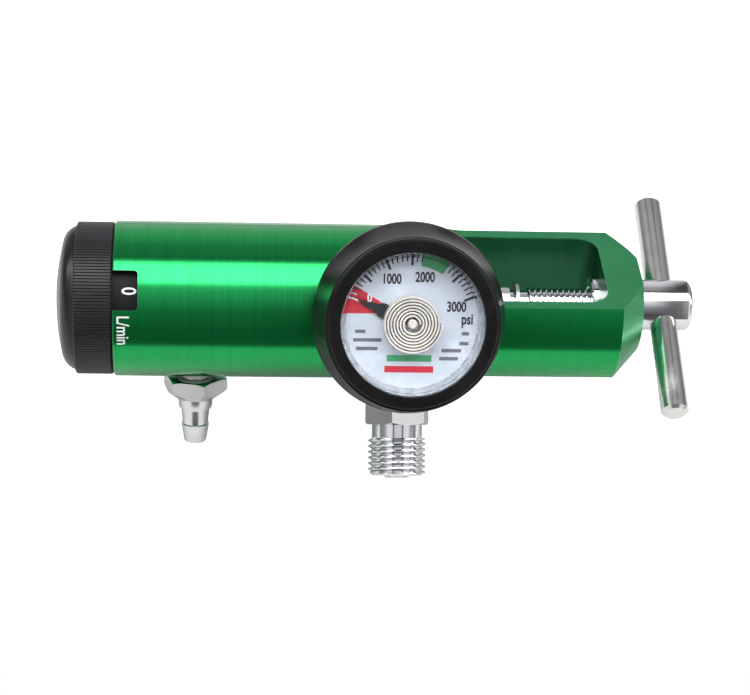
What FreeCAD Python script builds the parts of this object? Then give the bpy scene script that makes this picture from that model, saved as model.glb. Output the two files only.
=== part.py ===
import FreeCAD, Part
import math
import os
import Sketcher
from FreeCAD import Placement, Rotation, Vector

# Oxygen regulator for a small cylinder, in millimetres.
# The origin is on the axis of the body, at the inlet wall of the yoke window.
# X runs along the body to the T-handle, Z is square to the milled flats, and the
# front with the gauge faces -Y. Angles round the body start at +Z and turn towards -Y.

doc = FreeCAD.newDocument("oxygen_regulator")
sheet = doc.addObject("Spreadsheet::Sheet", "Sizes")
nodes = []


class Size:
    """A length or an angle: its number now, and the formula that the sheet works out."""

    def __init__(self, number, formula):
        self.number = number
        self.formula = formula

    def __add__(self, other):
        return joined(self, "+", other)

    def __radd__(self, other):
        return joined(other, "+", self)

    def __sub__(self, other):
        return joined(self, "-", other)

    def __rsub__(self, other):
        return joined(other, "-", self)

    def __mul__(self, other):
        return joined(self, "*", other)

    def __rmul__(self, other):
        return joined(other, "*", self)

    def __truediv__(self, other):
        return joined(self, "/", other)

    def __neg__(self):
        return Size(-self.number, f"(-{self.formula})")


def as_size(thing):
    if isinstance(thing, Size):
        return thing
    return Size(float(thing), f"({thing})" if thing < 0 else f"{thing}")


def joined(left, sign, right):
    a = as_size(left)
    b = as_size(right)
    results = {
        "+": a.number + b.number,
        "-": a.number - b.number,
        "*": a.number * b.number,
        "/": a.number / b.number if b.number else 0.0,
    }
    return Size(results[sign], f"({a.formula} {sign} {b.formula})")


def size(alias, number):
    """One driving dimension: a plain number in the sheet, with a name."""
    row = len(sheet.getUsedCells()) // 2 + 1
    sheet.set(f"A{row}", alias)
    sheet.set(f"B{row}", str(number))
    sheet.setAlias(f"B{row}", alias)
    return Size(float(number), f"Sizes.{alias}")


# Body: one turned and milled bar
body_diameter = size("body_diameter", 38.1)
edge_break = size("edge_break", 0.3)
window_length = size("window_length", 38.1)
window_rail = size("window_rail", 5.85)
window_corner = size("window_corner", 5.2)
inlet_wall = size("inlet_wall", 9.0)
end_wall = size("end_wall", 9.3)
end_cone_length = size("end_cone_length", 6.4)
end_face_diameter = size("end_face_diameter", 23.8)
across_flats = size("across_flats", 21.5)
flat_start = size("flat_start", 4.5)
flat_cove = size("flat_cove", 8.0)
knob_end_wall = size("knob_end_wall", 2.05)
drum_bore_depth = size("drum_bore_depth", 8.0)
head_bore = size("head_bore", 29.0)
head_bore_depth = size("head_bore_depth", 22.0)
piston_bore = size("piston_bore", 23.0)
piston_bore_depth = size("piston_bore_depth", 18.0)
core_bore = size("core_bore", 14.0)
core_bore_depth = size("core_bore_depth", 24.6)
notch_length = size("notch_length", 6.0)
notch_width = size("notch_width", 9.6)
notch_corner = size("notch_corner", 1.0)
notch_angle = size("notch_angle", 46.5)
spot_depth = size("spot_depth", 0.65)
port_depth = size("port_depth", 8.4)
port_inset = size("port_inset", 3.0)
feed_drill = size("feed_drill", 2.0)
feed_wall = size("feed_wall", 0.7)
vent_drill = size("vent_drill", 1.6)
vent_inset = size("vent_inset", 9.6)
vent_angle = size("vent_angle", 250.0)

# Fits
fit_gap = size("fit_gap", 0.05)
running_gap = size("running_gap", 0.1)
free_gap = size("free_gap", 0.3)
turning_gap = size("turning_gap", 0.4)
pin_fit = size("pin_fit", 0.02)
overcut = size("overcut", 1.0)
small_chamfer = size("small_chamfer", 0.4)
wide_chamfer = size("wide_chamfer", 0.6)

# Inlet: nipple, filter, washer and the two index pins
inlet_offset = size("inlet_offset", 5.1)
inlet_thread = size("inlet_thread", 8.0)
inlet_seat_depth = size("inlet_seat_depth", 6.0)
inlet_drill = size("inlet_drill", 3.2)
nipple_diameter = size("nipple_diameter", 6.2)
nipple_reach = size("nipple_reach", 5.0)
nipple_bore = size("nipple_bore", 2.4)
nipple_land = size("nipple_land", 0.2)
filter_diameter = size("filter_diameter", 4.4)
filter_length = size("filter_length", 2.9)
washer_diameter = size("washer_diameter", 11.0)
washer_thickness = size("washer_thickness", 2.2)
pin_diameter = size("pin_diameter", 4.0)
pin_spread = size("pin_spread", 8.84)
pin_drop = size("pin_drop", 8.5)
pin_seat = size("pin_seat", 5.0)
pin_reach = size("pin_reach", 6.0)
pin_shank = size("pin_shank", 3.2)
pin_root = size("pin_root", 0.3)

# Clamp: screw, T-bar, clip, pad and bush
bush_flange = size("bush_flange", 14.2)
bush_flange_length = size("bush_flange_length", 2.4)
bush_shank = size("bush_shank", 11.0)
screw_thread = size("screw_thread", 7.94)
thread_chamfer = size("thread_chamfer", 0.7)
neck_diameter = size("neck_diameter", 6.3)
neck_length = size("neck_length", 6.5)
screw_tip = size("screw_tip", 13.4)
clip_station = size("clip_station", 16.9)
clip_thickness = size("clip_thickness", 0.85)
clip_diameter = size("clip_diameter", 10.6)
clip_groove = size("clip_groove", 5.2)
pad_diameter = size("pad_diameter", 8.8)
pad_length = size("pad_length", 3.5)
pad_cone = size("pad_cone", 2.3)
pad_socket = size("pad_socket", 2.0)
hub_diameter = size("hub_diameter", 12.7)
hub_length = size("hub_length", 13.5)
hub_round = size("hub_round", 1.4)
bar_diameter = size("bar_diameter", 6.8)
bar_length = size("bar_length", 63.5)
bar_chamfer = size("bar_chamfer", 0.7)
bar_inset = size("bar_inset", 6.5)
bar_angle = size("bar_angle", 108.0)

# Pressure stage: nozzle, guide, piston and spring
nozzle_length = size("nozzle_length", 4.6)
nozzle_entry = size("nozzle_entry", 5.0)
nozzle_inset = size("nozzle_inset", 5.0)
nose_diameter = size("nose_diameter", 5.2)
nose_length = size("nose_length", 1.4)
nozzle_hole = size("nozzle_hole", 1.4)
guide_length = size("guide_length", 9.1)
guide_flange = size("guide_flange", 16.4)
guide_flange_length = size("guide_flange_length", 1.2)
stem_diameter = size("stem_diameter", 7.0)
stem_bore = size("stem_bore", 3.0)
stem_port = size("stem_port", 1.4)
seal_width = size("seal_width", 1.8)
seal_depth = size("seal_depth", 1.4)
seat_diameter = size("seat_diameter", 4.4)
seat_length = size("seat_length", 1.5)
piston_travel = size("piston_travel", 0.9)
piston_head_length = size("piston_head_length", 5.0)
stem_end_wall = size("stem_end_wall", 0.6)
nozzle_floor = size("nozzle_floor", 1.2)
nose_lip = size("nose_lip", 0.5)
main_spring_radius = size("main_spring_radius", 9.7)
main_spring_wire = size("main_spring_wire", 0.8)
main_spring_turns = size("main_spring_turns", 4)

# Flow stage: head, plate, shaft, detent
ring_width = size("ring_width", 1.1)
ring_groove_depth = size("ring_groove_depth", 0.7)
ring_lip = size("ring_lip", 0.6)
head_rim_bore = size("head_rim_bore", 21.8)
head_rim_length = size("head_rim_length", 4.7)
head_slot = size("head_slot", 3.0)
head_boss = size("head_boss", 24.0)
head_boss_length = size("head_boss_length", 1.3)
plate_thickness = size("plate_thickness", 1.5)
plate_hole = size("plate_hole", 1.2)
plate_hole_offset = size("plate_hole_offset", 7.4)
plate_seal_diameter = size("plate_seal_diameter", 4.0)
plate_seal_depth = size("plate_seal_depth", 1.6)
plate_positions = size("plate_positions", 12)
head_seal_inset = size("head_seal_inset", 1.4)
way_depth = size("way_depth", 0.5)
tenon_stand = size("tenon_stand", 0.2)
shaft_seal_inset = size("shaft_seal_inset", 5.0)
shaft_diameter = size("shaft_diameter", 6.0)
tenon_diameter = size("tenon_diameter", 4.0)
ball_diameter = size("ball_diameter", 3.0)
ball_offset = size("ball_offset", 9.0)
ball_angle = size("ball_angle", 270.0)
ball_proud = size("ball_proud", 0.5)
dimple_diameter = size("dimple_diameter", 2.8)
dimple_depth = size("dimple_depth", 0.8)
detent_spring_length = size("detent_spring_length", 4.6)
detent_spring_wire = size("detent_spring_wire", 0.25)
detent_spring_turns = size("detent_spring_turns", 5)

# Knob: drum, grip, cap and screw
drum_wall = size("drum_wall", 1.6)
drum_floor = size("drum_floor", 2.0)
knob_step = size("knob_step", 0.4)
knob_length = size("knob_length", 9.0)
knob_web = size("knob_web", 2.4)
knob_web_depth = size("knob_web_depth", 3.4)
knob_rim = size("knob_rim", 1.5)
rib_count = size("rib_count", 150)
rib_depth = size("rib_depth", 0.35)
rib_land = size("rib_land", 0.3)
cap_step = size("cap_step", 0.95)
cap_corner = size("cap_corner", 4.6)
cap_height = size("cap_height", 5.0)
cap_crown = size("cap_crown", 1.7)
cap_wall = size("cap_wall", 1.4)
cap_crown_overlap = size("cap_crown_overlap", 1.2)
knob_screw_diameter = size("knob_screw_diameter", 3.0)
knob_screw_head = size("knob_screw_head", 6.4)
knob_screw_head_height = size("knob_screw_head_height", 2.2)
knob_screw_length = size("knob_screw_length", 7.0)

# Gauge: case, boot, dial, lens, coil and pointer
gauge_angle = size("gauge_angle", 60.0)
gauge_thread = size("gauge_thread", 10.0)
gauge_feed = size("gauge_feed", 3.0)
gauge_nut = size("gauge_nut", 12.7)
gauge_spot = size("gauge_spot", 15.5)
gauge_nut_round = size("gauge_nut_round", 0.635)
gauge_neck_length = size("gauge_neck_length", 5.3)
case_diameter = size("case_diameter", 36.0)
case_depth = size("case_depth", 14.5)
case_wall = size("case_wall", 1.35)
case_floor = size("case_floor", 1.4)
case_ledge = size("case_ledge", 1.45)
dial_drop = size("dial_drop", 4.2)
dial_thickness = size("dial_thickness", 0.5)
lens_wall = size("lens_wall", 1.1)
lens_rise = size("lens_rise", 1.1)
lens_thickness = size("lens_thickness", 1.2)
boot_wall = size("boot_wall", 4.75)
boot_widest_rise = size("boot_widest_rise", 5.3)
boot_crest = size("boot_crest", 1.2)
boot_back_wall = size("boot_back_wall", 1.5)
boot_back_step = size("boot_back_step", 2.5)
boot_back_round = size("boot_back_round", 1.0)
boot_back_lip = size("boot_back_lip", 4.5)
boot_lip = size("boot_lip", 1.6)
boot_edge_wall = size("boot_edge_wall", 2.3)
boot_edge_round = size("boot_edge_round", 0.9)
boot_side_bend = size("boot_side_bend", 40.0)
boot_mouth_gap = size("boot_mouth_gap", 0.15)
coil_inner = size("coil_inner", 1.75)
coil_pitch = size("coil_pitch", 0.72)
coil_turns = size("coil_turns", 7)
coil_strip = size("coil_strip", 0.4)
coil_rise = size("coil_rise", 0.9)
coil_width = size("coil_width", 2.8)
post_diameter = size("post_diameter", 2.2)
post_foot = size("post_foot", 1.5)
pointer_length = size("pointer_length", 12.9)
pointer_tip_width = size("pointer_tip_width", 0.5)
pointer_base_width = size("pointer_base_width", 2.3)
pointer_thickness = size("pointer_thickness", 0.3)
pointer_rise = size("pointer_rise", 0.4)
pointer_gap = size("pointer_gap", 0.15)
pointer_clip_depth = size("pointer_clip_depth", 1.3)
pointer_clip_share = size("pointer_clip_share", 1.5)
pointer_shoulder = size("pointer_shoulder", 0.8)
pointer_zero = size("pointer_zero", 68.3)

# Power outlet: fitting, guide, poppet, ring and spring
outlet_angle = size("outlet_angle", 139.5)
outlet_port = size("outlet_port", 9.8)
outlet_feed = size("outlet_feed", 4.0)
outlet_collar = size("outlet_collar", 13.6)
outlet_collar_length = size("outlet_collar_length", 2.0)
outlet_spot_gap = size("outlet_spot_gap", 0.6)
outlet_hex = size("outlet_hex", 14.6)
outlet_hex_turn = size("outlet_hex_turn", 16.5)
outlet_hex_length = size("outlet_hex_length", 10.1)
outlet_neck = size("outlet_neck", 12.4)
outlet_neck_length = size("outlet_neck_length", 3.2)
outlet_thread = size("outlet_thread", 14.28)
outlet_thread_length = size("outlet_thread_length", 9.3)
outlet_chamfer = size("outlet_chamfer", 0.8)
outlet_bore = size("outlet_bore", 8.6)
outlet_bore_depth = size("outlet_bore_depth", 21.0)
outlet_mouth_cone = size("outlet_mouth_cone", 0.7)
outlet_guide_inset = size("outlet_guide_inset", 0.8)
outlet_guide_length = size("outlet_guide_length", 4.4)
poppet_diameter = size("poppet_diameter", 6.2)
poppet_reach = size("poppet_reach", 0.7)
poppet_flange = size("poppet_flange", 7.8)
poppet_flange_length = size("poppet_flange_length", 1.3)
poppet_tail = size("poppet_tail", 3.6)
poppet_tail_length = size("poppet_tail_length", 5.0)
outlet_ring_width = size("outlet_ring_width", 1.2)
outlet_spring_wire = size("outlet_spring_wire", 0.35)
outlet_spring_radius = size("outlet_spring_radius", 2.9)
outlet_spring_turns = size("outlet_spring_turns", 6)

# Hose barb and its washer
barb_inset = size("barb_inset", 10.3)
barb_angle = size("barb_angle", 160.0)
barb_hole = size("barb_hole", 6.8)
barb_spot = size("barb_spot", 10.4)
barb_thread = size("barb_thread", 6.0)
barb_thread_end = size("barb_thread_end", 9.5)
barb_floor = size("barb_floor", 8.0)
barb_washer_diameter = size("barb_washer_diameter", 9.2)
barb_washer_thickness = size("barb_washer_thickness", 0.8)
barb_collar_length = size("barb_collar_length", 0.7)
barb_hex = size("barb_hex", 11.7)
barb_hex_turn = size("barb_hex_turn", -5.0)
barb_hex_length = size("barb_hex_length", 6.8)
barb_ring_one = size("barb_ring_one", 8.2)
barb_ring_one_length = size("barb_ring_one_length", 1.6)
barb_waist = size("barb_waist", 6.5)
barb_waist_length = size("barb_waist_length", 2.6)
barb_ring_two = size("barb_ring_two", 6.9)
barb_tip = size("barb_tip", 5.3)
barb_tip_length = size("barb_tip_length", 5.3)
barb_bore = size("barb_bore", 2.6)
barb_edge = size("barb_edge", 0.5)
barb_land_rise = size("barb_land_rise", 0.2)
hex_bevel_share = size("hex_bevel_share", 0.6)

# Stations along the body, counted from the inlet wall of the window towards the knob
core_floor_at = -inlet_wall
spring_floor_at = core_floor_at - core_bore_depth
shoulder_at = spring_floor_at - piston_bore_depth
drum_floor_at = shoulder_at - head_bore_depth
knob_end_at = drum_floor_at - drum_bore_depth
ports_at = core_floor_at - port_inset
barb_at = shoulder_at - barb_inset
vent_at = shoulder_at + vent_inset
head_face_at = shoulder_at - head_rim_length
plate_at = head_face_at + free_gap
head_left_at = drum_floor_at + ring_lip + ring_width
boss_at = head_left_at - head_boss_length
nozzle_right_at = core_floor_at - nozzle_inset
nozzle_step_at = nozzle_right_at - nozzle_length
nose_at = nozzle_step_at - nose_length
seat_face_at = nose_at - piston_travel
grip_right_at = knob_end_at - free_gap
grip_left_at = grip_right_at - knob_length
web_right_at = grip_right_at - knob_web_depth
web_left_at = web_right_at - knob_web

# Stations along the body towards the T-handle
body_end_at = window_length + end_wall
bush_face_at = window_length - bush_flange_length
hub_face_at = body_end_at + free_gap
bar_at = hub_face_at + bar_inset

# Diameters and levels out from an axis that several pieces share
body_radius = body_diameter / 2
drum_bore = body_diameter - knob_end_wall * 2
knob_diameter = body_diameter - knob_step * 2
cap_diameter = knob_diameter - cap_step * 2
spot_level = body_radius - spot_depth
port_floor = spot_level - port_depth
fitting_end = port_floor + small_chamfer
feed_offset = piston_bore / 2 + feed_wall + feed_drill / 2
case_back = spot_level + gauge_neck_length
case_front = case_back + case_depth
case_bore = case_diameter - case_wall * 2
dial_level = case_front - dial_drop
lens_diameter = case_bore - fit_gap * 2
coil_back = dial_level + coil_rise
coil_front = coil_back + coil_width
outlet_end = (spot_level + outlet_collar_length + outlet_hex_length + outlet_neck_length
              + outlet_thread_length)
corner_to_flat = 2 / math.sqrt(3)
no_turn = Size(0, "0.0")


class Corner:
    """One corner of a profile. A bend makes the edge that leads to it an arc."""

    def __init__(self, along, out, bend=None, side=0):
        self.along = as_size(along)
        self.out = as_size(out)
        self.bend = bend
        self.side = side


def plane_of(body, role):
    return next(item for item in body.Origin.OriginFeatures if item.Role == role)


def new_sketch(body, name, role):
    sketch = body.newObject("Sketcher::SketchObject", name)
    sketch.AttachmentSupport = [(plane_of(body, role), "")]
    sketch.MapMode = "FlatFace"
    return sketch


def arc_between(start, end, radius, side):
    """An arc from start to end whose centre is left of the way there for side 1, right for -1."""
    middle = (start + end) / 2
    half = (end - start) / 2
    rise = math.sqrt(max(radius * radius - half.Length ** 2, 0.0))
    left = Vector(-half.y, half.x, 0).normalize()
    centre = middle + left * (rise * side)
    first, last = (start, end) if side > 0 else (end, start)
    angles = [math.atan2(spot.y - centre.y, spot.x - centre.x) for spot in (first, last)]
    return Part.ArcOfCircle(Part.Circle(centre, Vector(0, 0, 1), radius), angles[0], angles[1])


def outline(body, name, corners, role="XZ_Plane", upright=False):
    """A closed sketch whose every corner is measured from the origin by the sheet."""
    sketch = new_sketch(body, name, role)
    turn = -1 if upright else 1
    pairs = [(c.out, c.along) if upright else (c.along, c.out) for c in corners]
    spots = [Vector(across.number, up.number, 0) for across, up in pairs]
    count = len(corners)
    ends = []
    for index, corner in enumerate(corners):
        start = spots[index - 1]
        end = spots[index]
        if corner.bend is None:
            sketch.addGeometry(Part.LineSegment(start, end), False)
            ends.append((1, 2))
        else:
            side = corner.side * turn
            sketch.addGeometry(arc_between(start, end, corner.bend.number, side), False)
            ends.append((1, 2) if side > 0 else (2, 1))
    constraints = []
    formulas = []

    def add(constraint, formula=None):
        constraints.append(constraint)
        formulas.append(formula)

    for index, corner in enumerate(corners):
        following = (index + 1) % count
        here = (index, ends[index][1])
        add(Sketcher.Constraint("Coincident", *here, following, ends[following][0]))
        across, up = pairs[index]
        if across.formula == "0":
            add(Sketcher.Constraint("PointOnObject", *here, -2))
        else:
            add(Sketcher.Constraint("DistanceX", -1, 1, *here, across.number), across.formula)
        if up.formula == "0":
            add(Sketcher.Constraint("PointOnObject", *here, -1))
        else:
            add(Sketcher.Constraint("DistanceY", -1, 1, *here, up.number), up.formula)
        if corner.bend is not None:
            add(Sketcher.Constraint("Radius", index, corner.bend.number), corner.bend.formula)
    sketch.addConstraint(constraints)
    for index, formula in enumerate(formulas):
        if formula:
            sketch.setExpression(f"Constraints[{index}]", formula)
    return sketch


def place_out(thing, station, angle):
    """Stand a piece that was made along Z on the body's axis, turned round the body."""
    turn = Rotation(Vector(1, 0, 0), angle.number)
    thing.Placement = Placement(Vector(station.number, 0, 0), turn)
    thing.setExpression("Placement.Base.x", station.formula)
    thing.setExpression("Placement.Rotation.Angle", f"{angle.formula} * 1 deg")


def move_out(thing, station, level, angle):
    """Put a piece at a station of the body and at a level out from its axis."""
    thing.setExpression("Placement.Base.x", station.formula)
    thing.setExpression("Placement.Base.y", f"-{level.formula} * sin({angle.formula} * 1 deg)")
    thing.setExpression("Placement.Base.z", f"{level.formula} * cos({angle.formula} * 1 deg)")


def lay_along_x(thing, start, offset, angle):
    """Lay a piece that was made along Z along X, from a station and off the axis."""
    thing.Placement = Placement(Vector(), Rotation(Vector(0, 1, 0), 90))
    move_out(thing, start, offset, angle)


def stand_at_level(thing, station, level, angle, spin):
    """Stand a piece that was made along Z at a level of a port's axis, spun about that axis."""
    about = Rotation(Vector(1, 0, 0), angle.number)
    thing.Placement = Placement(Vector(), about * Rotation(Vector(0, 0, 1), spin.number))
    move_out(thing, station, level, angle)


def new_body(label):
    body = doc.addObject("PartDesign::Body", label)
    body.Label = label
    return body


def keep(piece, label):
    piece.Label = label
    nodes.append(piece)
    return piece


def turned(label, corners, upright=False):
    """A body turned about X, or about Z when upright, from a profile of stations and radii."""
    body = new_body(label)
    sketch = outline(body, label + "_profile", corners, "XZ_Plane", upright)
    revolution = body.newObject("PartDesign::Revolution", label + "_turned")
    revolution.Profile = sketch
    revolution.ReferenceAxis = (sketch, ["V_Axis" if upright else "H_Axis"])
    revolution.Angle = 360
    body.Tip = revolution
    return body


def lean(sketch, angle, station=None):
    """Turn a sketch round the body's axis, and move it along the body."""
    where = station.number if station else 0.0
    turn = Rotation(Vector(1, 0, 0), angle.number)
    sketch.AttachmentOffset = Placement(Vector(where, 0, 0), turn)
    sketch.setExpression("AttachmentOffset.Rotation.Angle", f"{angle.formula} * 1 deg")
    if station:
        sketch.setExpression("AttachmentOffset.Base.x", station.formula)


def port(body, name, corners, station, angle):
    """A stepped hole sunk from outside towards the axis, from a profile of levels and radii."""
    sketch = outline(body, name + "_profile", corners, "XZ_Plane", True)
    lean(sketch, angle, station)
    groove = body.newObject("PartDesign::Groove", name)
    groove.Profile = sketch
    groove.ReferenceAxis = (sketch, ["V_Axis"])
    groove.Angle = 360
    body.Tip = groove
    return groove


def round_hole(body, name, diameter, offset, angle, start, length, towards_knob):
    """A drilled hole along X at a distance from the axis."""
    sketch = new_sketch(body, name + "_circle", "YZ_Plane")
    turn = Rotation(Vector(0, 0, 1), angle.number)
    sketch.AttachmentOffset = Placement(Vector(0, 0, start.number), turn)
    sketch.setExpression("AttachmentOffset.Base.z", start.formula)
    sketch.setExpression("AttachmentOffset.Rotation.Angle", f"{angle.formula} * 1 deg")
    radius = diameter / 2
    centre = Vector(0, offset.number, 0)
    sketch.addGeometry(Part.Circle(centre, Vector(0, 0, 1), radius.number), False)
    sketch.addConstraint(Sketcher.Constraint("PointOnObject", 0, 3, -2))
    up = sketch.addConstraint(Sketcher.Constraint("DistanceY", -1, 1, 0, 3, offset.number))
    wide = sketch.addConstraint(Sketcher.Constraint("Radius", 0, radius.number))
    sketch.setExpression(f"Constraints[{up}]", offset.formula)
    sketch.setExpression(f"Constraints[{wide}]", radius.formula)
    pocket = body.newObject("PartDesign::Pocket", name)
    pocket.Profile = sketch
    pocket.Reversed = not towards_knob
    pocket.Length = length.number
    pocket.setExpression("Length", length.formula)
    body.Tip = pocket
    return pocket


def pocket_from(body, name, sketch, length, both_ways=False, outward=False):
    pocket = body.newObject("PartDesign::Pocket", name)
    pocket.Profile = sketch
    pocket.Midplane = both_ways
    pocket.Reversed = outward
    pocket.Length = length.number
    pocket.setExpression("Length", length.formula)
    body.Tip = pocket
    return pocket


def polar(body, name, feature, sketch_axis, occurrences):
    pattern = body.newObject("PartDesign::PolarPattern", name)
    pattern.Originals = [feature]
    pattern.Axis = sketch_axis
    pattern.Angle = 360
    pattern.Occurrences = int(occurrences.number)
    pattern.setExpression("Occurrences", occurrences.formula)
    body.Tip = pattern
    return pattern


def hexagon(body, name, across, low, high, spin):
    """Mill six flats between two levels of an upright turned piece, spun about its axis."""
    reach = across
    corners = [
        Corner(low, across / 2),
        Corner(low, reach),
        Corner(high, reach),
        Corner(high, across / 2),
    ]
    sketch = outline(body, name + "_side", corners, "XZ_Plane", True)
    sketch.AttachmentOffset = Placement(Vector(), Rotation(Vector(0, 1, 0), spin.number))
    sketch.setExpression("AttachmentOffset.Rotation.Angle", f"{spin.formula} * 1 deg")
    flat = pocket_from(body, name + "_flat", sketch, reach * 2, both_ways=True)
    polar(body, name, flat, (sketch, ["V_Axis"]), Size(6, "6"))


def spring(label, radius, wire, turns, height):
    """A round-wire coil spring along Z, its wire swept along a helix of one edge a turn."""
    helix = doc.addObject("Part::Helix", label + "_helix")
    helix.SegmentLength = 1
    edges = [f"Edge{turn + 1}" for turn in range(math.ceil(turns.number))]
    run = height - wire * 2
    helix.Radius = radius.number
    helix.Height = run.number
    helix.Pitch = (run / turns).number
    helix.setExpression("Radius", radius.formula)
    helix.setExpression("Height", run.formula)
    helix.setExpression("Pitch", (run / turns).formula)
    section = doc.addObject("Part::Circle", label + "_section")
    section.Radius = wire.number
    section.setExpression("Radius", wire.formula)
    section.Placement = Placement(Vector(radius.number, 0, 0), Rotation(Vector(1, 0, 0), 90))
    section.setExpression("Placement.Base.x", radius.formula)
    coil = doc.addObject("Part::Sweep", label)
    coil.Sections = [section]
    coil.Spine = (helix, edges)
    coil.Solid = True
    coil.Frenet = True
    return keep(coil, label)


def ring_section(low, high, inner, outer):
    """The four corners of a plain ring between two stations."""
    return [Corner(low, inner), Corner(high, inner), Corner(high, outer), Corner(low, outer)]


def make_regulator_body():
    """The bar: bores from the knob end, two milled flats, the yoke window and all ports."""
    left = knob_end_at
    groove_from = drum_floor_at + ring_lip
    groove_to = groove_from + ring_width
    ring_bore = head_bore / 2 + ring_groove_depth
    corners = [
        Corner(left, drum_bore / 2),
        Corner(left, body_radius - edge_break),
        Corner(left + edge_break, body_radius),
        Corner(body_end_at - end_cone_length, body_radius),
        Corner(body_end_at, end_face_diameter / 2),
        Corner(body_end_at, bush_shank / 2),
        Corner(window_length, bush_shank / 2),
        Corner(window_length, 0),
        Corner(core_floor_at, 0),
        Corner(core_floor_at, core_bore / 2),
        Corner(spring_floor_at, core_bore / 2),
        Corner(spring_floor_at, piston_bore / 2),
        Corner(shoulder_at, piston_bore / 2),
        Corner(shoulder_at, head_bore / 2),
        Corner(groove_to, head_bore / 2),
        Corner(groove_to, ring_bore),
        Corner(groove_from, ring_bore),
        Corner(groove_from, head_bore / 2),
        Corner(drum_floor_at, head_bore / 2),
        Corner(drum_floor_at, drum_bore / 2),
    ]
    body = turned("regulator_body", corners)
    mill_flats(body)
    mill_window(body)
    mill_notch(body)
    sink_ports(body)
    drill_inlet(body)
    return keep(body, "regulator_body")


def mill_flats(body):
    level = across_flats / 2
    clear = body_radius + flat_cove
    past_end = body_end_at + overcut
    corners = [
        Corner(flat_start - flat_cove, clear),
        Corner(flat_start - flat_cove, level + flat_cove),
        Corner(flat_start, level, flat_cove, 1),
        Corner(past_end, level),
        Corner(past_end, clear),
    ]
    sketch = outline(body, "flat_side", corners)
    flat = pocket_from(body, "flat", sketch, body_diameter + overcut * 2, both_ways=True)
    mirrored = body.newObject("PartDesign::Mirrored", "both_flats")
    mirrored.Originals = [flat]
    mirrored.MirrorPlane = (plane_of(body, "XY_Plane"), [""])
    body.Tip = mirrored


def mill_window(body):
    wide = body_radius - window_rail
    inner = wide - window_corner
    near = window_corner
    far = window_length - window_corner
    corners = [
        Corner(near, -wide, window_corner, 1),
        Corner(far, -wide),
        Corner(window_length, -inner, window_corner, 1),
        Corner(window_length, inner),
        Corner(far, wide, window_corner, 1),
        Corner(near, wide),
        Corner(0, inner, window_corner, 1),
        Corner(0, -inner),
    ]
    sketch = outline(body, "window_outline", corners, "XY_Plane")
    pocket_from(body, "window", sketch, body_diameter + overcut * 2, both_ways=True)


def mill_notch(body):
    """The notch in the knob end that shows one number of the drum."""
    left = knob_end_at
    right = left + notch_length
    half = notch_width / 2
    corners = [
        Corner(left - overcut, -half),
        Corner(right - notch_corner, -half),
        Corner(right, -(half - notch_corner), notch_corner, 1),
        Corner(right, half - notch_corner),
        Corner(right - notch_corner, half, notch_corner, 1),
        Corner(left - overcut, half),
    ]
    sketch = outline(body, "notch_outline", corners, "XY_Plane")
    lean(sketch, notch_angle)
    pocket_from(body, "notch", sketch, body_diameter, outward=True)


def port_corners(spot, bore, floor, feed, feed_end):
    """Spot face, threaded bore down to its floor, and a feed hole past the floor."""
    top = body_radius + overcut
    return [
        Corner(top, 0),
        Corner(top, spot / 2),
        Corner(spot_level, spot / 2),
        Corner(spot_level, bore / 2),
        Corner(floor, bore / 2),
        Corner(floor, feed / 2),
        Corner(feed_end, feed / 2),
        Corner(feed_end, 0),
    ]


def sink_ports(body):
    into_core = core_bore / 2 - overcut
    gauge = port_corners(gauge_spot, gauge_thread, port_floor, gauge_feed, into_core)
    port(body, "gauge_port", gauge, ports_at, gauge_angle)
    top = body_radius + overcut
    outlet_spot = outlet_collar / 2 + outlet_spot_gap
    outlet = [
        Corner(top, 0),
        Corner(top, outlet_spot),
        Corner(spot_level, outlet_spot),
        Corner(spot_level, outlet_port / 2),
        Corner(port_floor, outlet_port / 2),
        Corner(port_floor, 0),
    ]
    port(body, "outlet_port_hole", outlet, ports_at, outlet_angle)
    barb = [
        Corner(top, 0),
        Corner(top, barb_spot / 2),
        Corner(spot_level, barb_spot / 2),
        Corner(spot_level, barb_hole / 2),
        Corner(head_bore / 2 - overcut, barb_hole / 2),
        Corner(head_bore / 2 - overcut, 0),
    ]
    port(body, "barb_port", barb, barb_at, barb_angle)
    vent = [
        Corner(top, 0),
        Corner(top, vent_drill / 2),
        Corner(piston_bore / 2 - overcut, vent_drill / 2),
        Corner(piston_bore / 2 - overcut, 0),
    ]
    port(body, "vent_hole", vent, vent_at, vent_angle)
    run = ports_at - shoulder_at
    round_hole(body, "feed_hole", feed_drill, feed_offset, outlet_angle, shoulder_at, run, False)


def drill_inlet(body):
    depth = inlet_seat_depth
    round_hole(body, "inlet_seat", inlet_thread, inlet_offset, no_turn, no_turn, depth, True)
    depth = inlet_wall + overcut
    round_hole(body, "inlet_hole", inlet_drill, inlet_offset, no_turn, no_turn, depth, True)
    sketch = new_sketch(body, "pin_circles", "YZ_Plane")
    radius = pin_shank / 2
    for index, side in enumerate((-1, 1)):
        across = pin_spread / 2 * side
        drop = -pin_drop
        centre = Vector(across.number, drop.number, 0)
        sketch.addGeometry(Part.Circle(centre, Vector(0, 0, 1), radius.number), False)
        for kind, length in (("DistanceX", across), ("DistanceY", drop)):
            number = sketch.addConstraint(
                Sketcher.Constraint(kind, -1, 1, index, 3, length.number))
            sketch.setExpression(f"Constraints[{number}]", length.formula)
        number = sketch.addConstraint(Sketcher.Constraint("Radius", index, radius.number))
        sketch.setExpression(f"Constraints[{number}]", radius.formula)
    pocket_from(body, "pin_holes", sketch, pin_seat)


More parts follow.
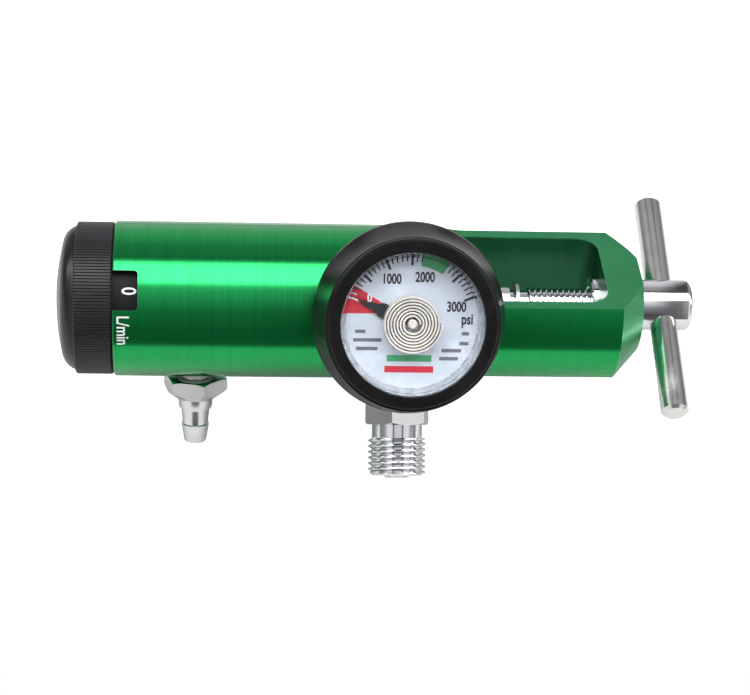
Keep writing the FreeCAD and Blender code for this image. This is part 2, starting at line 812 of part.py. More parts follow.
def make_inlet():
    """Nipple with its sintered filter, the seal washer round it, and the two index pins."""
    shank = inlet_thread / 2 - fit_gap
    tip = nipple_diameter / 2
    land = tip + nipple_land
    seat = -inlet_seat_depth
    corners = [
        Corner(seat, filter_diameter / 2 + fit_gap),
        Corner(seat, shank),
        Corner(0, shank),
        Corner(0, land),
        Corner(washer_thickness, land),
        Corner(washer_thickness + nipple_land, tip),
        Corner(nipple_reach - wide_chamfer, tip),
        Corner(nipple_reach, tip - wide_chamfer),
        Corner(nipple_reach, nipple_bore / 2),
        Corner(seat + filter_length, nipple_bore / 2),
        Corner(seat + filter_length, filter_diameter / 2 + fit_gap),
    ]
    nipple = keep(turned("inlet_nipple", corners), "inlet_nipple")
    filter_end = seat + filter_length
    plug = [
        Corner(seat, 0),
        Corner(seat, filter_diameter / 2),
        Corner(filter_end, filter_diameter / 2),
        Corner(filter_end, 0),
    ]
    inlet_filter = keep(turned("inlet_filter", plug), "inlet_filter")
    round_edge = washer_thickness / 2
    washer = [
        Corner(0, land + fit_gap),
        Corner(washer_thickness, land + fit_gap),
        Corner(washer_thickness, washer_diameter / 2 - round_edge / 2),
        Corner(round_edge, washer_diameter / 2),
        Corner(0, washer_diameter / 2 - round_edge / 2),
    ]
    inlet_washer = keep(turned("inlet_washer", washer), "inlet_washer")
    for piece in (nipple, inlet_filter, inlet_washer):
        piece.Placement.Base = Vector(0, 0, inlet_offset.number)
        piece.setExpression("Placement.Base.z", inlet_offset.formula)


def make_index_pins():
    """Two pins side by side, each on a thinner shank that is pressed into the inlet wall."""
    radius = pin_diameter / 2 - pin_fit
    shank = pin_shank / 2 - pin_fit
    end = radius / 2
    corners = [
        Corner(-pin_seat, 0),
        Corner(-pin_seat, shank),
        Corner(0, shank),
        Corner(pin_root, radius),
        Corner(pin_reach - end, radius),
        Corner(pin_reach, end),
        Corner(pin_reach, 0),
    ]
    pin = turned("index_pin", corners)
    pin.Placement.Base = Vector(0, (pin_spread / 2).number, -pin_drop.number)
    pin.setExpression("Placement.Base.y", (pin_spread / 2).formula)
    pin.setExpression("Placement.Base.z", (-pin_drop).formula)
    twin = doc.addObject("Part::Mirroring", "index_pin_twin")
    twin.Source = pin
    twin.Normal = Vector(0, 1, 0)
    pair = doc.addObject("Part::Compound", "index_pins")
    pair.Links = [pin, twin]
    keep(pair, "index_pins")


def make_screw_bush():
    shank = bush_shank / 2 - fit_gap
    bore = screw_thread / 2 + running_gap
    corners = [
        Corner(bush_face_at, bore + thread_chamfer / 2),
        Corner(bush_face_at, bush_flange / 2 - small_chamfer),
        Corner(bush_face_at + small_chamfer, bush_flange / 2),
        Corner(window_length, bush_flange / 2),
        Corner(window_length, shank),
        Corner(body_end_at - free_gap, shank),
        Corner(body_end_at - free_gap, bore),
        Corner(bush_face_at + thread_chamfer / 2, bore),
    ]
    keep(turned("screw_bush", corners), "screw_bush")


def make_clamp_screw():
    """Screw and hub in one: threaded shank, necked tip with a clip groove, cross-drilled hub."""
    neck = neck_diameter / 2
    thread = screw_thread / 2
    hub = hub_diameter / 2
    thread_from = screw_tip + neck_length
    hub_end = hub_face_at + hub_length
    clip_to = clip_station + clip_thickness
    corners = [
        Corner(screw_tip, 0),
        Corner(screw_tip, neck - small_chamfer),
        Corner(screw_tip + small_chamfer, neck),
        Corner(clip_station, neck),
        Corner(clip_station, clip_groove / 2),
        Corner(clip_to, clip_groove / 2),
        Corner(clip_to, neck),
        Corner(thread_from, neck),
        Corner(thread_from + thread_chamfer, thread),
        Corner(hub_face_at, thread),
        Corner(hub_face_at, hub - edge_break),
        Corner(hub_face_at + edge_break, hub),
        Corner(hub_end - hub_round, hub),
        Corner(hub_end, hub - hub_round, hub_round, -1),
        Corner(hub_end, 0),
    ]
    body = turned("clamp_screw", corners)
    hole = [
        Corner(-hub_diameter, 0),
        Corner(-hub_diameter, bar_diameter / 2 + fit_gap / 2),
        Corner(hub_diameter, bar_diameter / 2 + fit_gap / 2),
        Corner(hub_diameter, 0),
    ]
    port(body, "bar_hole", hole, bar_at, bar_angle)
    keep(body, "clamp_screw")


def make_t_bar():
    half = bar_length / 2
    radius = bar_diameter / 2
    corners = [
        Corner(-half, 0),
        Corner(-half, radius - bar_chamfer),
        Corner(bar_chamfer - half, radius),
        Corner(half - bar_chamfer, radius),
        Corner(half, radius - bar_chamfer),
        Corner(half, 0),
    ]
    bar = keep(turned("t_bar", corners, upright=True), "t_bar")
    place_out(bar, bar_at, bar_angle)


def make_screw_clip():
    low = clip_station + fit_gap / 2
    high = clip_station + clip_thickness - fit_gap / 2
    inner = clip_groove / 2 + fit_gap / 2
    clip = ring_section(low, high, inner, clip_diameter / 2)
    keep(turned("screw_clip", clip), "screw_clip")


def make_swivel_pad():
    """The cone-nosed pad that the screw's tip turns in."""
    mouth = screw_tip + pad_socket
    shoulder = mouth - pad_length
    floor = screw_tip - free_gap
    socket = neck_diameter / 2 + running_gap
    corners = [
        Corner(shoulder - pad_cone, 0),
        Corner(shoulder, pad_cone),
        Corner(shoulder, pad_diameter / 2),
        Corner(mouth, pad_diameter / 2),
        Corner(mouth, socket),
        Corner(floor, socket),
        Corner(floor, 0),
    ]
    keep(turned("swivel_pad", corners), "swivel_pad")


def make_nozzle():
    """The high-pressure nozzle: its nose is the valve seat of the piston."""
    floor_at = nozzle_step_at + nozzle_floor
    corners = [
        Corner(nozzle_right_at, nozzle_entry / 2),
        Corner(nozzle_right_at, core_bore / 2 - fit_gap),
        Corner(nozzle_step_at, core_bore / 2 - fit_gap),
        Corner(nozzle_step_at, nose_diameter / 2 + nose_lip),
        Corner(nose_at, nozzle_hole / 2 + nose_lip),
        Corner(nose_at, nozzle_hole / 2),
        Corner(floor_at, nozzle_hole / 2),
        Corner(floor_at, nozzle_entry / 2),
    ]
    keep(turned("nozzle", corners), "nozzle")


def make_stem_guide():
    """The bush that guides the piston's stem, with a groove for the stem's seal."""
    bore = stem_diameter / 2 + running_gap
    middle = spring_floor_at + guide_length / 2
    seal_low = middle - seal_width / 2
    seal_high = middle + seal_width / 2
    flange_at = spring_floor_at - guide_flange_length
    guide_right_at = spring_floor_at + guide_length
    corners = [
        Corner(flange_at, bore),
        Corner(flange_at, guide_flange / 2),
        Corner(spring_floor_at, guide_flange / 2),
        Corner(spring_floor_at, core_bore / 2 - fit_gap),
        Corner(guide_right_at, core_bore / 2 - fit_gap),
        Corner(guide_right_at, bore),
        Corner(seal_high, bore),
        Corner(seal_high, bore + seal_depth),
        Corner(seal_low, bore + seal_depth),
        Corner(seal_low, bore),
    ]
    keep(turned("stem_guide", corners), "stem_guide")
    seal_ring("stem_ring", middle, bore, bore + seal_depth - fit_gap)


def seal_ring(label, middle, inner, outer, upright=False):
    """A seal ring: a rounded section that fills its groove between two radii."""
    half = seal_width / 2 - fit_gap
    low = middle - half
    high = middle + half
    cut = (outer - inner) / 4
    corners = [
        Corner(low, inner + cut),
        Corner(low + cut, inner),
        Corner(high - cut, inner),
        Corner(high, inner + cut),
        Corner(high, outer - cut),
        Corner(high - cut, outer),
        Corner(low + cut, outer),
        Corner(low, outer - cut),
    ]
    return keep(turned(label, corners, upright), label)


def make_piston():
    """The piston: a wide head to the knob side, and a hollow stem to the nozzle."""
    head = piston_bore / 2 - running_gap
    stem = stem_diameter / 2
    head_at = shoulder_at + free_gap
    head_to = head_at + piston_head_length
    middle = head_at + piston_head_length / 2
    seal_low = middle - seal_width / 2
    seal_high = middle + seal_width / 2
    seat_back = seat_face_at - seat_length
    stem_floor = seat_back - stem_end_wall
    port_at = stem_floor - stem_port
    corners = [
        Corner(head_at, stem_bore / 2),
        Corner(head_at, head),
        Corner(seal_low, head),
        Corner(seal_low, head - seal_depth),
        Corner(seal_high, head - seal_depth),
        Corner(seal_high, head),
        Corner(head_to, head),
        Corner(head_to, stem),
        Corner(seat_face_at, stem),
        Corner(seat_face_at, seat_diameter / 2 + fit_gap),
        Corner(seat_back, seat_diameter / 2 + fit_gap),
        Corner(seat_back, 0),
        Corner(stem_floor, 0),
        Corner(stem_floor, stem_bore / 2),
    ]
    body = turned("piston", corners)
    cross = [
        Corner(-stem_diameter, 0),
        Corner(-stem_diameter, stem_port / 2),
        Corner(stem_diameter, stem_port / 2),
        Corner(stem_diameter, 0),
    ]
    port(body, "stem_port_hole", cross, port_at, no_turn)
    keep(body, "piston")
    seat = [
        Corner(seat_back, 0),
        Corner(seat_back, seat_diameter / 2),
        Corner(seat_face_at, seat_diameter / 2),
        Corner(seat_face_at, 0),
    ]
    keep(turned("piston_seat", seat), "piston_seat")
    inner = head - seal_depth + fit_gap
    seal_ring("piston_ring", middle, inner, head + fit_gap)


def make_main_spring():
    start = shoulder_at + free_gap + piston_head_length
    height = spring_floor_at - start
    coil = spring("main_spring", main_spring_radius, main_spring_wire, main_spring_turns, height)
    lay_along_x(coil, start + main_spring_wire, no_turn, no_turn)


def make_flow_head():
    """The brass head of the flow stage: rim, shaft bore, seal seat, barb thread, detent hole."""
    outer = head_bore / 2 - fit_gap
    bore = shaft_diameter / 2 + running_gap
    seal_middle = head_face_at - head_seal_inset
    seal_low = seal_middle - seal_width / 2
    seal_high = seal_middle + seal_width / 2
    corners = [
        Corner(boss_at, bore),
        Corner(boss_at, head_boss / 2),
        Corner(head_left_at, head_boss / 2),
        Corner(head_left_at, outer),
        Corner(seal_low, outer),
        Corner(seal_low, outer - seal_depth),
        Corner(seal_high, outer - seal_depth),
        Corner(seal_high, outer),
        Corner(shoulder_at, outer),
        Corner(shoulder_at, head_rim_bore / 2),
        Corner(head_face_at, head_rim_bore / 2),
        Corner(head_face_at, bore),
    ]
    body = turned("flow_head", corners)
    offset = plate_hole_offset
    depth = plate_seal_depth
    seal_hole = plate_seal_diameter + fit_gap * 2
    round_hole(body, "seal_seat", seal_hole, offset, barb_angle, head_face_at, depth, True)
    run = head_face_at - barb_at
    round_hole(body, "outlet_way", plate_hole * 2, offset, barb_angle, head_face_at, run, True)
    top = head_bore / 2 + overcut
    barb = [
        Corner(top, 0),
        Corner(top, barb_thread / 2 + fit_gap),
        Corner(barb_floor, barb_thread / 2 + fit_gap),
        Corner(barb_floor, barb_bore / 2),
        Corner(plate_hole_offset - way_depth, barb_bore / 2),
        Corner(plate_hole_offset - way_depth, 0),
    ]
    port(body, "barb_thread_hole", barb, barb_at, barb_angle)
    spring_room = head_boss_length + ball_diameter / 2 + detent_spring_length
    wide = ball_diameter + running_gap * 2
    round_hole(body, "detent_hole", wide, ball_offset, ball_angle, boss_at, spring_room, False)
    slot = [
        Corner(head_face_at, -(head_slot / 2)),
        Corner(shoulder_at + overcut, -(head_slot / 2)),
        Corner(shoulder_at + overcut, head_slot / 2),
        Corner(head_face_at, head_slot / 2),
    ]
    sketch = outline(body, "slot_outline", slot, "XY_Plane")
    lean(sketch, outlet_angle)
    pocket_from(body, "rim_slot", sketch, head_bore, outward=True)
    keep(body, "flow_head")
    seal_ring("head_ring", seal_middle, outer - seal_depth + fit_gap, outer)


def make_plate_and_seal():
    """The orifice plate with one hole per flow, and the small seal that it slides on."""
    radius = head_rim_bore / 2 - free_gap
    right = plate_at + plate_thickness
    corners = ring_section(plate_at, right, tenon_diameter / 2 + fit_gap, radius)
    body = turned("orifice_plate", corners)
    first = barb_angle + as_size(180) / plate_positions
    deep = plate_thickness + overcut
    hole = round_hole(body, "orifice", plate_hole, plate_hole_offset, first, right, deep, True)
    profile = body.getObject("orifice_plate_profile")
    polar(body, "orifices", hole, (profile, ["H_Axis"]), plate_positions)
    keep(body, "orifice_plate")
    low = head_face_at - plate_seal_depth
    seal = ring_section(low, head_face_at, plate_hole / 2, plate_seal_diameter / 2)
    ring = keep(turned("plate_seal", seal), "plate_seal")
    move_out(ring, no_turn, plate_hole_offset, barb_angle)


def make_selector_shaft():
    radius = shaft_diameter / 2
    seal_middle = plate_at - shaft_seal_inset
    seal_low = seal_middle - seal_width / 2
    seal_high = seal_middle + seal_width / 2
    thin = radius - seal_depth / 2
    end = web_left_at + running_gap
    screw_hole = knob_screw_diameter / 2 + fit_gap
    screw_end = web_left_at + knob_screw_length + free_gap
    tenon_end = plate_at + plate_thickness + tenon_stand
    corners = [
        Corner(end, screw_hole),
        Corner(end, radius),
        Corner(seal_low, radius),
        Corner(seal_low, thin),
        Corner(seal_high, thin),
        Corner(seal_high, radius),
        Corner(plate_at - fit_gap, radius),
        Corner(plate_at - fit_gap, tenon_diameter / 2),
        Corner(tenon_end, tenon_diameter / 2),
        Corner(tenon_end, 0),
        Corner(screw_end, 0),
        Corner(screw_end, screw_hole),
    ]
    keep(turned("selector_shaft", corners), "selector_shaft")
    seal_ring("shaft_ring", seal_middle, thin + fit_gap, radius + fit_gap)


def make_retaining_ring():
    """The internal ring that holds the flow head in its bore."""
    low = drum_floor_at + ring_lip + fit_gap
    high = drum_floor_at + ring_lip + ring_width - fit_gap
    outer = head_bore / 2 + ring_groove_depth - fit_gap
    inner = head_boss / 2 + free_gap
    keep(turned("retaining_ring", ring_section(low, high, inner, outer)), "retaining_ring")


def make_detent():
    """The ball that clicks into the drum's dimples, and the spring behind it."""
    centre = boss_at - ball_proud + ball_diameter / 2
    ball = doc.addObject("Part::Sphere", "detent_ball")
    ball.Radius = (ball_diameter / 2).number
    ball.setExpression("Radius", (ball_diameter / 2).formula)
    lay_along_x(ball, centre, ball_offset, ball_angle)
    keep(ball, "detent_ball")
    start = centre + ball_diameter / 2
    height = boss_at + head_boss_length + ball_diameter / 2 + detent_spring_length - start
    radius = ball_diameter / 2 - detent_spring_wire - running_gap
    coil = spring("detent_spring", radius, detent_spring_wire, detent_spring_turns, height)
    lay_along_x(coil, start + detent_spring_wire, ball_offset, ball_angle)


def make_number_drum():
    """The drum behind the notch. Twelve dimples on its face catch the detent ball."""
    outer = drum_bore / 2 - free_gap
    face = drum_floor_at - turning_gap
    bore = shaft_diameter / 2 + fit_gap
    corners = [
        Corner(web_right_at, outer - drum_wall),
        Corner(web_right_at, outer),
        Corner(face - edge_break, outer),
        Corner(face, outer - edge_break),
        Corner(face, bore),
        Corner(face - drum_floor, bore),
        Corner(face - drum_floor, outer - drum_wall),
    ]
    body = turned("number_drum", corners)
    dimple = round_hole(
        body, "dimple", dimple_diameter, ball_offset, ball_angle, face, dimple_depth, True)
    profile = body.getObject("number_drum_profile")
    polar(body, "dimples", dimple, (profile, ["H_Axis"]), plate_positions)
    keep(body, "number_drum")


def make_knob_grip():
    """The ribbed ring, its web on the shaft, and the grooves between its ribs."""
    right = grip_right_at
    radius = knob_diameter / 2
    inner = radius - knob_rim
    bore = shaft_diameter / 2 + fit_gap
    corners = [
        Corner(right, drum_bore / 2),
        Corner(right, radius - edge_break),
        Corner(right - edge_break, radius),
        Corner(grip_left_at + edge_break, radius),
        Corner(grip_left_at, radius - edge_break),
        Corner(grip_left_at, inner),
        Corner(web_left_at, inner),
        Corner(web_left_at, bore),
        Corner(web_right_at, bore),
        Corner(web_right_at, drum_bore / 2),
    ]
    body = turned("knob_grip", corners)
    half = (knob_diameter * math.pi / rib_count - rib_land) / 2
    outside = radius + edge_break
    corners = [
        Corner(-half, outside),
        Corner(half, outside),
        Corner(0, radius - rib_depth),
    ]
    sketch = outline(body, "rib_gap_outline", corners, "YZ_Plane")
    sketch.AttachmentOffset = Placement(Vector(0, 0, right.number), Rotation())
    sketch.setExpression("AttachmentOffset.Base.z", right.formula)
    gap = pocket_from(body, "rib_gap", sketch, knob_length)
    profile = body.getObject("knob_grip_profile")
    polar(body, "ribs", gap, (profile, ["H_Axis"]), rib_count)
    keep(body, "knob_grip")


def make_knob_cap():
    """The domed cap: a round corner and a slightly crowned face over a short skirt."""
    radius = cap_diameter / 2
    skirt = knob_diameter / 2 - knob_rim - fit_gap
    skirt_to = web_left_at - running_gap
    crown_at = grip_left_at - cap_height
    shoulder = crown_at + cap_crown
    inside = skirt - cap_wall
    rim = radius - cap_corner + cap_crown_overlap
    ball = (rim * rim + cap_crown * cap_crown) / (cap_crown * 2)
    corners = [
        Corner(skirt_to, inside),
        Corner(skirt_to, skirt),
        Corner(grip_left_at, skirt),
        Corner(grip_left_at, radius),
        Corner(shoulder, rim, cap_corner, 1),
        Corner(crown_at, 0, ball, 1),
        Corner(crown_at + cap_wall, 0),
        Corner(shoulder + cap_wall, inside - cap_corner + cap_crown_overlap),
        Corner(grip_left_at, inside),
    ]
    keep(turned("knob_cap", corners), "knob_cap")


def make_knob_screw():
    """The screw under the cap that holds the grip on the shaft."""
    head = knob_screw_head / 2
    shank = knob_screw_diameter / 2
    seat = web_left_at
    top = seat - knob_screw_head_height
    corners = [
        Corner(top, 0),
        Corner(top, head - wide_chamfer),
        Corner(top + wide_chamfer, head),
        Corner(seat, head),
        Corner(seat, shank),
        Corner(seat + knob_screw_length, shank),
        Corner(seat + knob_screw_length, 0),
    ]
    keep(turned("knob_screw", corners), "knob_screw")


def make_gauge_case():
    """The case: threaded stem, square wrench part, cup with a ledge for the dial."""
    stem = gauge_thread / 2 - fit_gap
    ledge = dial_level - dial_thickness
    cup = case_diameter / 2
    inner = case_bore / 2
    seat = inner - case_ledge
    nut = gauge_nut / 2 + gauge_nut_round
    corners = [
        Corner(fitting_end, gauge_feed / 2),
        Corner(fitting_end, stem),
        Corner(spot_level, stem),
        Corner(spot_level, nut),
        Corner(case_back, nut),
        Corner(case_back, cup),
        Corner(case_front, cup),
        Corner(case_front, inner),
        Corner(ledge, inner),
        Corner(ledge, seat),
        Corner(case_back + case_floor, seat),
        Corner(case_back + case_floor, gauge_feed / 2),
    ]
    body = turned("gauge_case", corners, upright=True)
    side = [
        Corner(spot_level, gauge_nut / 2),
        Corner(spot_level, gauge_nut),
        Corner(case_back, gauge_nut),
        Corner(case_back, gauge_nut / 2),
    ]
    sketch = outline(body, "wrench_side", side, "XZ_Plane", True)
    flat = pocket_from(body, "wrench_flat", sketch, gauge_nut * 2, both_ways=True)
    polar(body, "wrench_flats", flat, (sketch, ["V_Axis"]), Size(4, "4"))
    place_out(keep(body, "gauge_case"), ports_at, gauge_angle)


def make_gauge_boot():
    """The rubber boot: it swells to its widest behind the rim, and its lip holds the lens."""
    case_radius = case_diameter / 2
    inside = case_radius + running_gap
    back = case_back - boot_back_wall
    back_radius = case_radius + boot_back_step
    back_bore = case_radius - boot_back_lip
    widest = back + boot_widest_rise
    wide = case_radius + boot_wall
    front = case_front + boot_lip
    edge = case_radius + boot_edge_wall
    mouth = lens_diameter / 2 + boot_mouth_gap
    corners = [
        Corner(back, back_bore),
        Corner(back, back_radius - boot_back_round),
        Corner(back + boot_back_round, back_radius),
        Corner(widest - boot_crest, wide - edge_break),
        Corner(widest, wide),
        Corner(widest + boot_crest, wide - running_gap),
        Corner(front - boot_edge_round, edge, boot_side_bend, 1),
        Corner(front, edge - boot_edge_round, boot_edge_round, 1),
        Corner(front, mouth),
        Corner(case_front + fit_gap, mouth),
        Corner(case_front + fit_gap, inside),
        Corner(case_back - fit_gap, inside),
        Corner(case_back - fit_gap, back_bore),
    ]
    boot = keep(turned("gauge_boot", corners, upright=True), "gauge_boot")
    place_out(boot, ports_at, gauge_angle)


def make_dial_plate():
    """The printed plate on the case's ledge, with a hole for the post."""
    low = dial_level - dial_thickness
    outer = lens_diameter / 2 - fit_gap
    inner = post_diameter / 2 + free_gap
    plate = turned("dial_plate", ring_section(low, dial_level, inner, outer), upright=True)
    place_out(keep(plate, "dial_plate"), ports_at, gauge_angle)


def make_gauge_lens():
    """The clear lens: a front disc on a skirt that clamps the dial."""
    outer = lens_diameter / 2
    inner = outer - lens_wall
    front = case_front + lens_rise
    back = front - lens_thickness
    corners = [
        Corner(dial_level, inner),
        Corner(dial_level, outer),
        Corner(front - edge_break, outer),
        Corner(front, outer - edge_break),
        Corner(front, 0),
        Corner(back, 0),
        Corner(back, inner),
    ]
    lens = turned("gauge_lens", corners, upright=True)
    place_out(keep(lens, "gauge_lens"), ports_at, gauge_angle)


def make_coil_post():
    """The post that feeds the coil, fixed in the floor of the case."""
    low = case_back + case_floor
    radius = post_diameter / 2
    corners = [
        Corner(low, 0),
        Corner(low, gauge_nut / 2),
        Corner(low + post_foot, gauge_nut / 2),
        Corner(low + post_foot, radius),
        Corner(coil_front - edge_break, radius),
        Corner(coil_front, radius - edge_break),
        Corner(coil_front, 0),
    ]
    post = turned("coil_post", corners, upright=True)
    place_out(keep(post, "coil_post"), ports_at, gauge_angle)


def make_bourdon_coil():
    """The flat tube wound into a spiral, which turns the pointer as the pressure rises."""
    spiral = doc.addObject("Part::Spiral", "coil_spiral")
    spiral.Radius = coil_inner.number
    spiral.Growth = coil_pitch.number
    spiral.Rotations = coil_turns.number
    spiral.SegmentLength = 0
    spiral.setExpression("Radius", coil_inner.formula)
    spiral.setExpression("Growth", coil_pitch.formula)
    spiral.setExpression("Rotations", coil_turns.formula)
    strip = doc.addObject("Part::Plane", "coil_strip_section")
    strip.Length = coil_strip.number
    strip.Width = coil_width.number
    strip.setExpression("Length", coil_strip.formula)
    strip.setExpression("Width", coil_width.formula)
    edge = coil_inner - coil_strip / 2
    strip.Placement = Placement(Vector(edge.number, 0, 0), Rotation(Vector(1, 0, 0), 90))
    strip.setExpression("Placement.Base.x", edge.formula)
    coil = doc.addObject("Part::Sweep", "bourdon_coil")
    coil.Sections = [strip]
    coil.Spine = (spiral, ["Edge1"])
    coil.Solid = True
    coil.Frenet = False
    keep(coil, "bourdon_coil")
    stand_at_level(coil, ports_at, coil_back, gauge_angle, no_turn)


def make_pointer():
    """The pointer: a clip round the coil's last turn and a blade that tapers to the scale."""
    body = new_body("pointer")
    coil_outer = coil_inner + coil_pitch * coil_turns + coil_strip / 2
    base = coil_outer + pointer_gap
    half = pointer_base_width / 2
    wing = half * pointer_clip_share
    heel = base - pointer_clip_depth
    shoulder = base + wide_chamfer
    tip = pointer_tip_width / 2
    corners = [
        Corner(-wing, heel),
        Corner(wing, heel),
        Corner(wing, shoulder),
        Corner(half, shoulder + pointer_shoulder),
        Corner(tip, pointer_length),
        Corner(-tip, pointer_length),
        Corner(-half, shoulder + pointer_shoulder),
        Corner(-wing, shoulder),
    ]
    sketch = outline(body, "blade_outline", corners, "XY_Plane")
    blade = body.newObject("PartDesign::Pad", "blade")
    blade.Profile = sketch
    blade.Length = pointer_thickness.number
    blade.setExpression("Length", pointer_thickness.formula)
    body.Tip = blade
    keep(body, "pointer")
    stand_at_level(body, ports_at, dial_level + pointer_rise, gauge_angle, pointer_zero)


def make_outlet_fitting():
    """The power outlet: hexagon, neck and threaded end, bored for its check valve."""
    collar_to = spot_level + outlet_collar_length
    hex_to = collar_to + outlet_hex_length
    neck_to = hex_to + outlet_neck_length
    end = outlet_end
    thread = outlet_thread / 2
    corner = outlet_hex / 2 * corner_to_flat
    bore = outlet_bore / 2
    bevel = (corner - outlet_hex / 2) * hex_bevel_share
    corners = [
        Corner(fitting_end, outlet_feed / 2),
        Corner(fitting_end, outlet_port / 2 - fit_gap),
        Corner(spot_level, outlet_port / 2 - fit_gap),
        Corner(spot_level, outlet_collar / 2),
        Corner(collar_to, outlet_collar / 2),
        Corner(collar_to + bevel, corner),
        Corner(hex_to - bevel, corner),
        Corner(hex_to, outlet_hex / 2),
        Corner(hex_to, outlet_neck / 2),
        Corner(neck_to, outlet_neck / 2),
        Corner(neck_to + outlet_chamfer, thread),
        Corner(end - outlet_chamfer, thread),
        Corner(end, thread - outlet_chamfer),
        Corner(end, bore + outlet_mouth_cone),
        Corner(end - outlet_mouth_cone, bore),
        Corner(end - outlet_bore_depth, bore),
        Corner(end - outlet_bore_depth, outlet_feed / 2),
    ]
    body = turned("outlet_fitting", corners, upright=True)
    hexagon(body, "outlet_hexagon", outlet_hex, collar_to, hex_to, outlet_hex_turn)
    place_out(keep(body, "outlet_fitting"), ports_at, outlet_angle)


def make_outlet_valve():
    """Guide ring, poppet, seal ring and spring of the outlet's check valve."""
    guide_to = outlet_end - outlet_guide_inset
    guide_from = guide_to - outlet_guide_length
    bore = outlet_bore / 2
    nose = poppet_diameter / 2
    inner = nose + running_gap
    guide = ring_section(guide_from, guide_to, inner, bore - fit_gap)
    guide_ring = keep(turned("outlet_guide", guide, upright=True), "outlet_guide")
    flange_to = guide_from - outlet_ring_width - fit_gap * 2
    flange_from = flange_to - poppet_flange_length
    tail_end = flange_from - poppet_tail_length
    tip = outlet_end + poppet_reach
    poppet = [
        Corner(tail_end, 0),
        Corner(tail_end, poppet_tail / 2),
        Corner(flange_from, poppet_tail / 2),
        Corner(flange_from, poppet_flange / 2),
        Corner(flange_to, poppet_flange / 2),
        Corner(flange_to, nose),
        Corner(tip - small_chamfer, nose),
        Corner(tip, nose - small_chamfer),
        Corner(tip, 0),
    ]
    poppet_body = keep(turned("outlet_poppet", poppet, upright=True), "outlet_poppet")
    low = flange_to + fit_gap
    high = flange_to + fit_gap + outlet_ring_width
    cut = outlet_ring_width / 4
    ring = [
        Corner(low, inner + cut),
        Corner(low + cut, inner),
        Corner(high - cut, inner),
        Corner(high, inner + cut),
        Corner(high, poppet_flange / 2 - cut),
        Corner(high - cut, poppet_flange / 2),
        Corner(low + cut, poppet_flange / 2),
        Corner(low, poppet_flange / 2 - cut),
    ]
    seal = keep(turned("outlet_ring", ring, upright=True), "outlet_ring")
    for piece in (guide_ring, poppet_body, seal):
        place_out(piece, ports_at, outlet_angle)
    floor = outlet_end - outlet_bore_depth
    height = flange_from - floor
    coil = spring(
        "outlet_spring", outlet_spring_radius, outlet_spring_wire, outlet_spring_turns, height)
    stand_at_level(coil, ports_at, floor + outlet_spring_wire, outlet_angle, no_turn)


def make_hose_barb():
    """The barb: hexagon, two tapered rings and a bore, screwed through the wall into the head."""
    washer_to = spot_level + barb_washer_thickness
    corner = barb_hex / 2 * corner_to_flat
    bevel = (corner - barb_hex / 2) * hex_bevel_share
    hex_from = washer_to + barb_collar_length
    hex_to = hex_from + barb_hex_length
    ring_to = hex_to + barb_ring_one_length
    waist_to = ring_to + barb_waist_length
    tip = waist_to + barb_tip_length
    shank = barb_thread / 2
    collar = barb_washer_diameter / 2 - edge_break
    land_from = waist_to + barb_land_rise
    corners = [
        Corner(barb_thread_end, barb_bore / 2),
        Corner(barb_thread_end, shank),
        Corner(washer_to, shank),
        Corner(washer_to, collar),
        Corner(hex_from, collar),
        Corner(hex_from + bevel, corner),
        Corner(hex_to - bevel, corner),
        Corner(hex_to, barb_hex / 2),
        Corner(hex_to, barb_ring_one / 2),
        Corner(ring_to, barb_ring_one / 2),
        Corner(waist_to, barb_waist / 2),
        Corner(land_from, barb_ring_two / 2),
        Corner(land_from + barb_edge, barb_ring_two / 2),
        Corner(tip - barb_edge, barb_tip / 2),
        Corner(tip, barb_tip / 2 - barb_edge),
        Corner(tip, barb_bore / 2),
    ]
    body = turned("hose_barb", corners, upright=True)
    hexagon(body, "barb_hexagon", barb_hex, hex_from, hex_to, barb_hex_turn)
    place_out(keep(body, "hose_barb"), barb_at, barb_angle)
    ring = ring_section(spot_level, washer_to, shank + fit_gap, barb_washer_diameter / 2)
    washer = keep(turned("barb_washer", ring, upright=True), "barb_washer")
    place_out(washer, barb_at, barb_angle)


def check_and_write():
    """Stop on any failed or broken object, then write one file per piece."""
    doc.recompute()
    for thing in doc.Objects:
        if "Invalid" in thing.State or "Error" in thing.State:
            raise RuntimeError(f"{thing.Name} failed: {thing.State}")
    os.makedirs("parts", exist_ok=True)
    for piece in nodes:
        shape = piece.Shape
        if shape.isNull() or not shape.isValid() or not shape.Solids:
            raise RuntimeError(f"{piece.Label} has no valid solid")
    for piece in nodes:
        piece.Shape.exportStep(f"parts/{piece.Label}.step")
        volume = sum(solid.Volume for solid in piece.Shape.Solids)
        print(f"{piece.Label}: {len(piece.Shape.Solids)} solid, {volume:.2f} mm3")


make_regulator_body()
make_inlet()
make_index_pins()
make_screw_bush()
make_clamp_screw()
make_t_bar()
make_screw_clip()
make_swivel_pad()
make_nozzle()
make_stem_guide()
make_piston()
make_main_spring()
make_flow_head()
make_plate_and_seal()
make_selector_shaft()
make_retaining_ring()
make_detent()
make_number_drum()
make_knob_grip()
make_knob_cap()
make_knob_screw()
make_gauge_case()
make_gauge_boot()
make_dial_plate()
make_gauge_lens()
make_coil_post()
make_bourdon_coil()
make_pointer()
make_outlet_fitting()
make_outlet_valve()
make_hose_barb()
check_and_write()
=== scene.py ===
# %% [markdown]
# # An oxygen regulator with a yoke clamp
# The object is turned from one bar of green anodised aluminium. A cylinder's post goes through the
# window near its right end and a screw with a long T-bar presses it on the inlet. A black knob at
# the left end sets the flow, and a pressure gauge in a rubber boot stands on the front.
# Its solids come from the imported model, which Blender loads as a fixed frame. This lesson gives
# them their finishes, models the real screw threads, prints the dial, and lights it in a studio.

# %% Load the fixed frame
import math

import bmesh
import bpy
from mathutils import Matrix, Vector


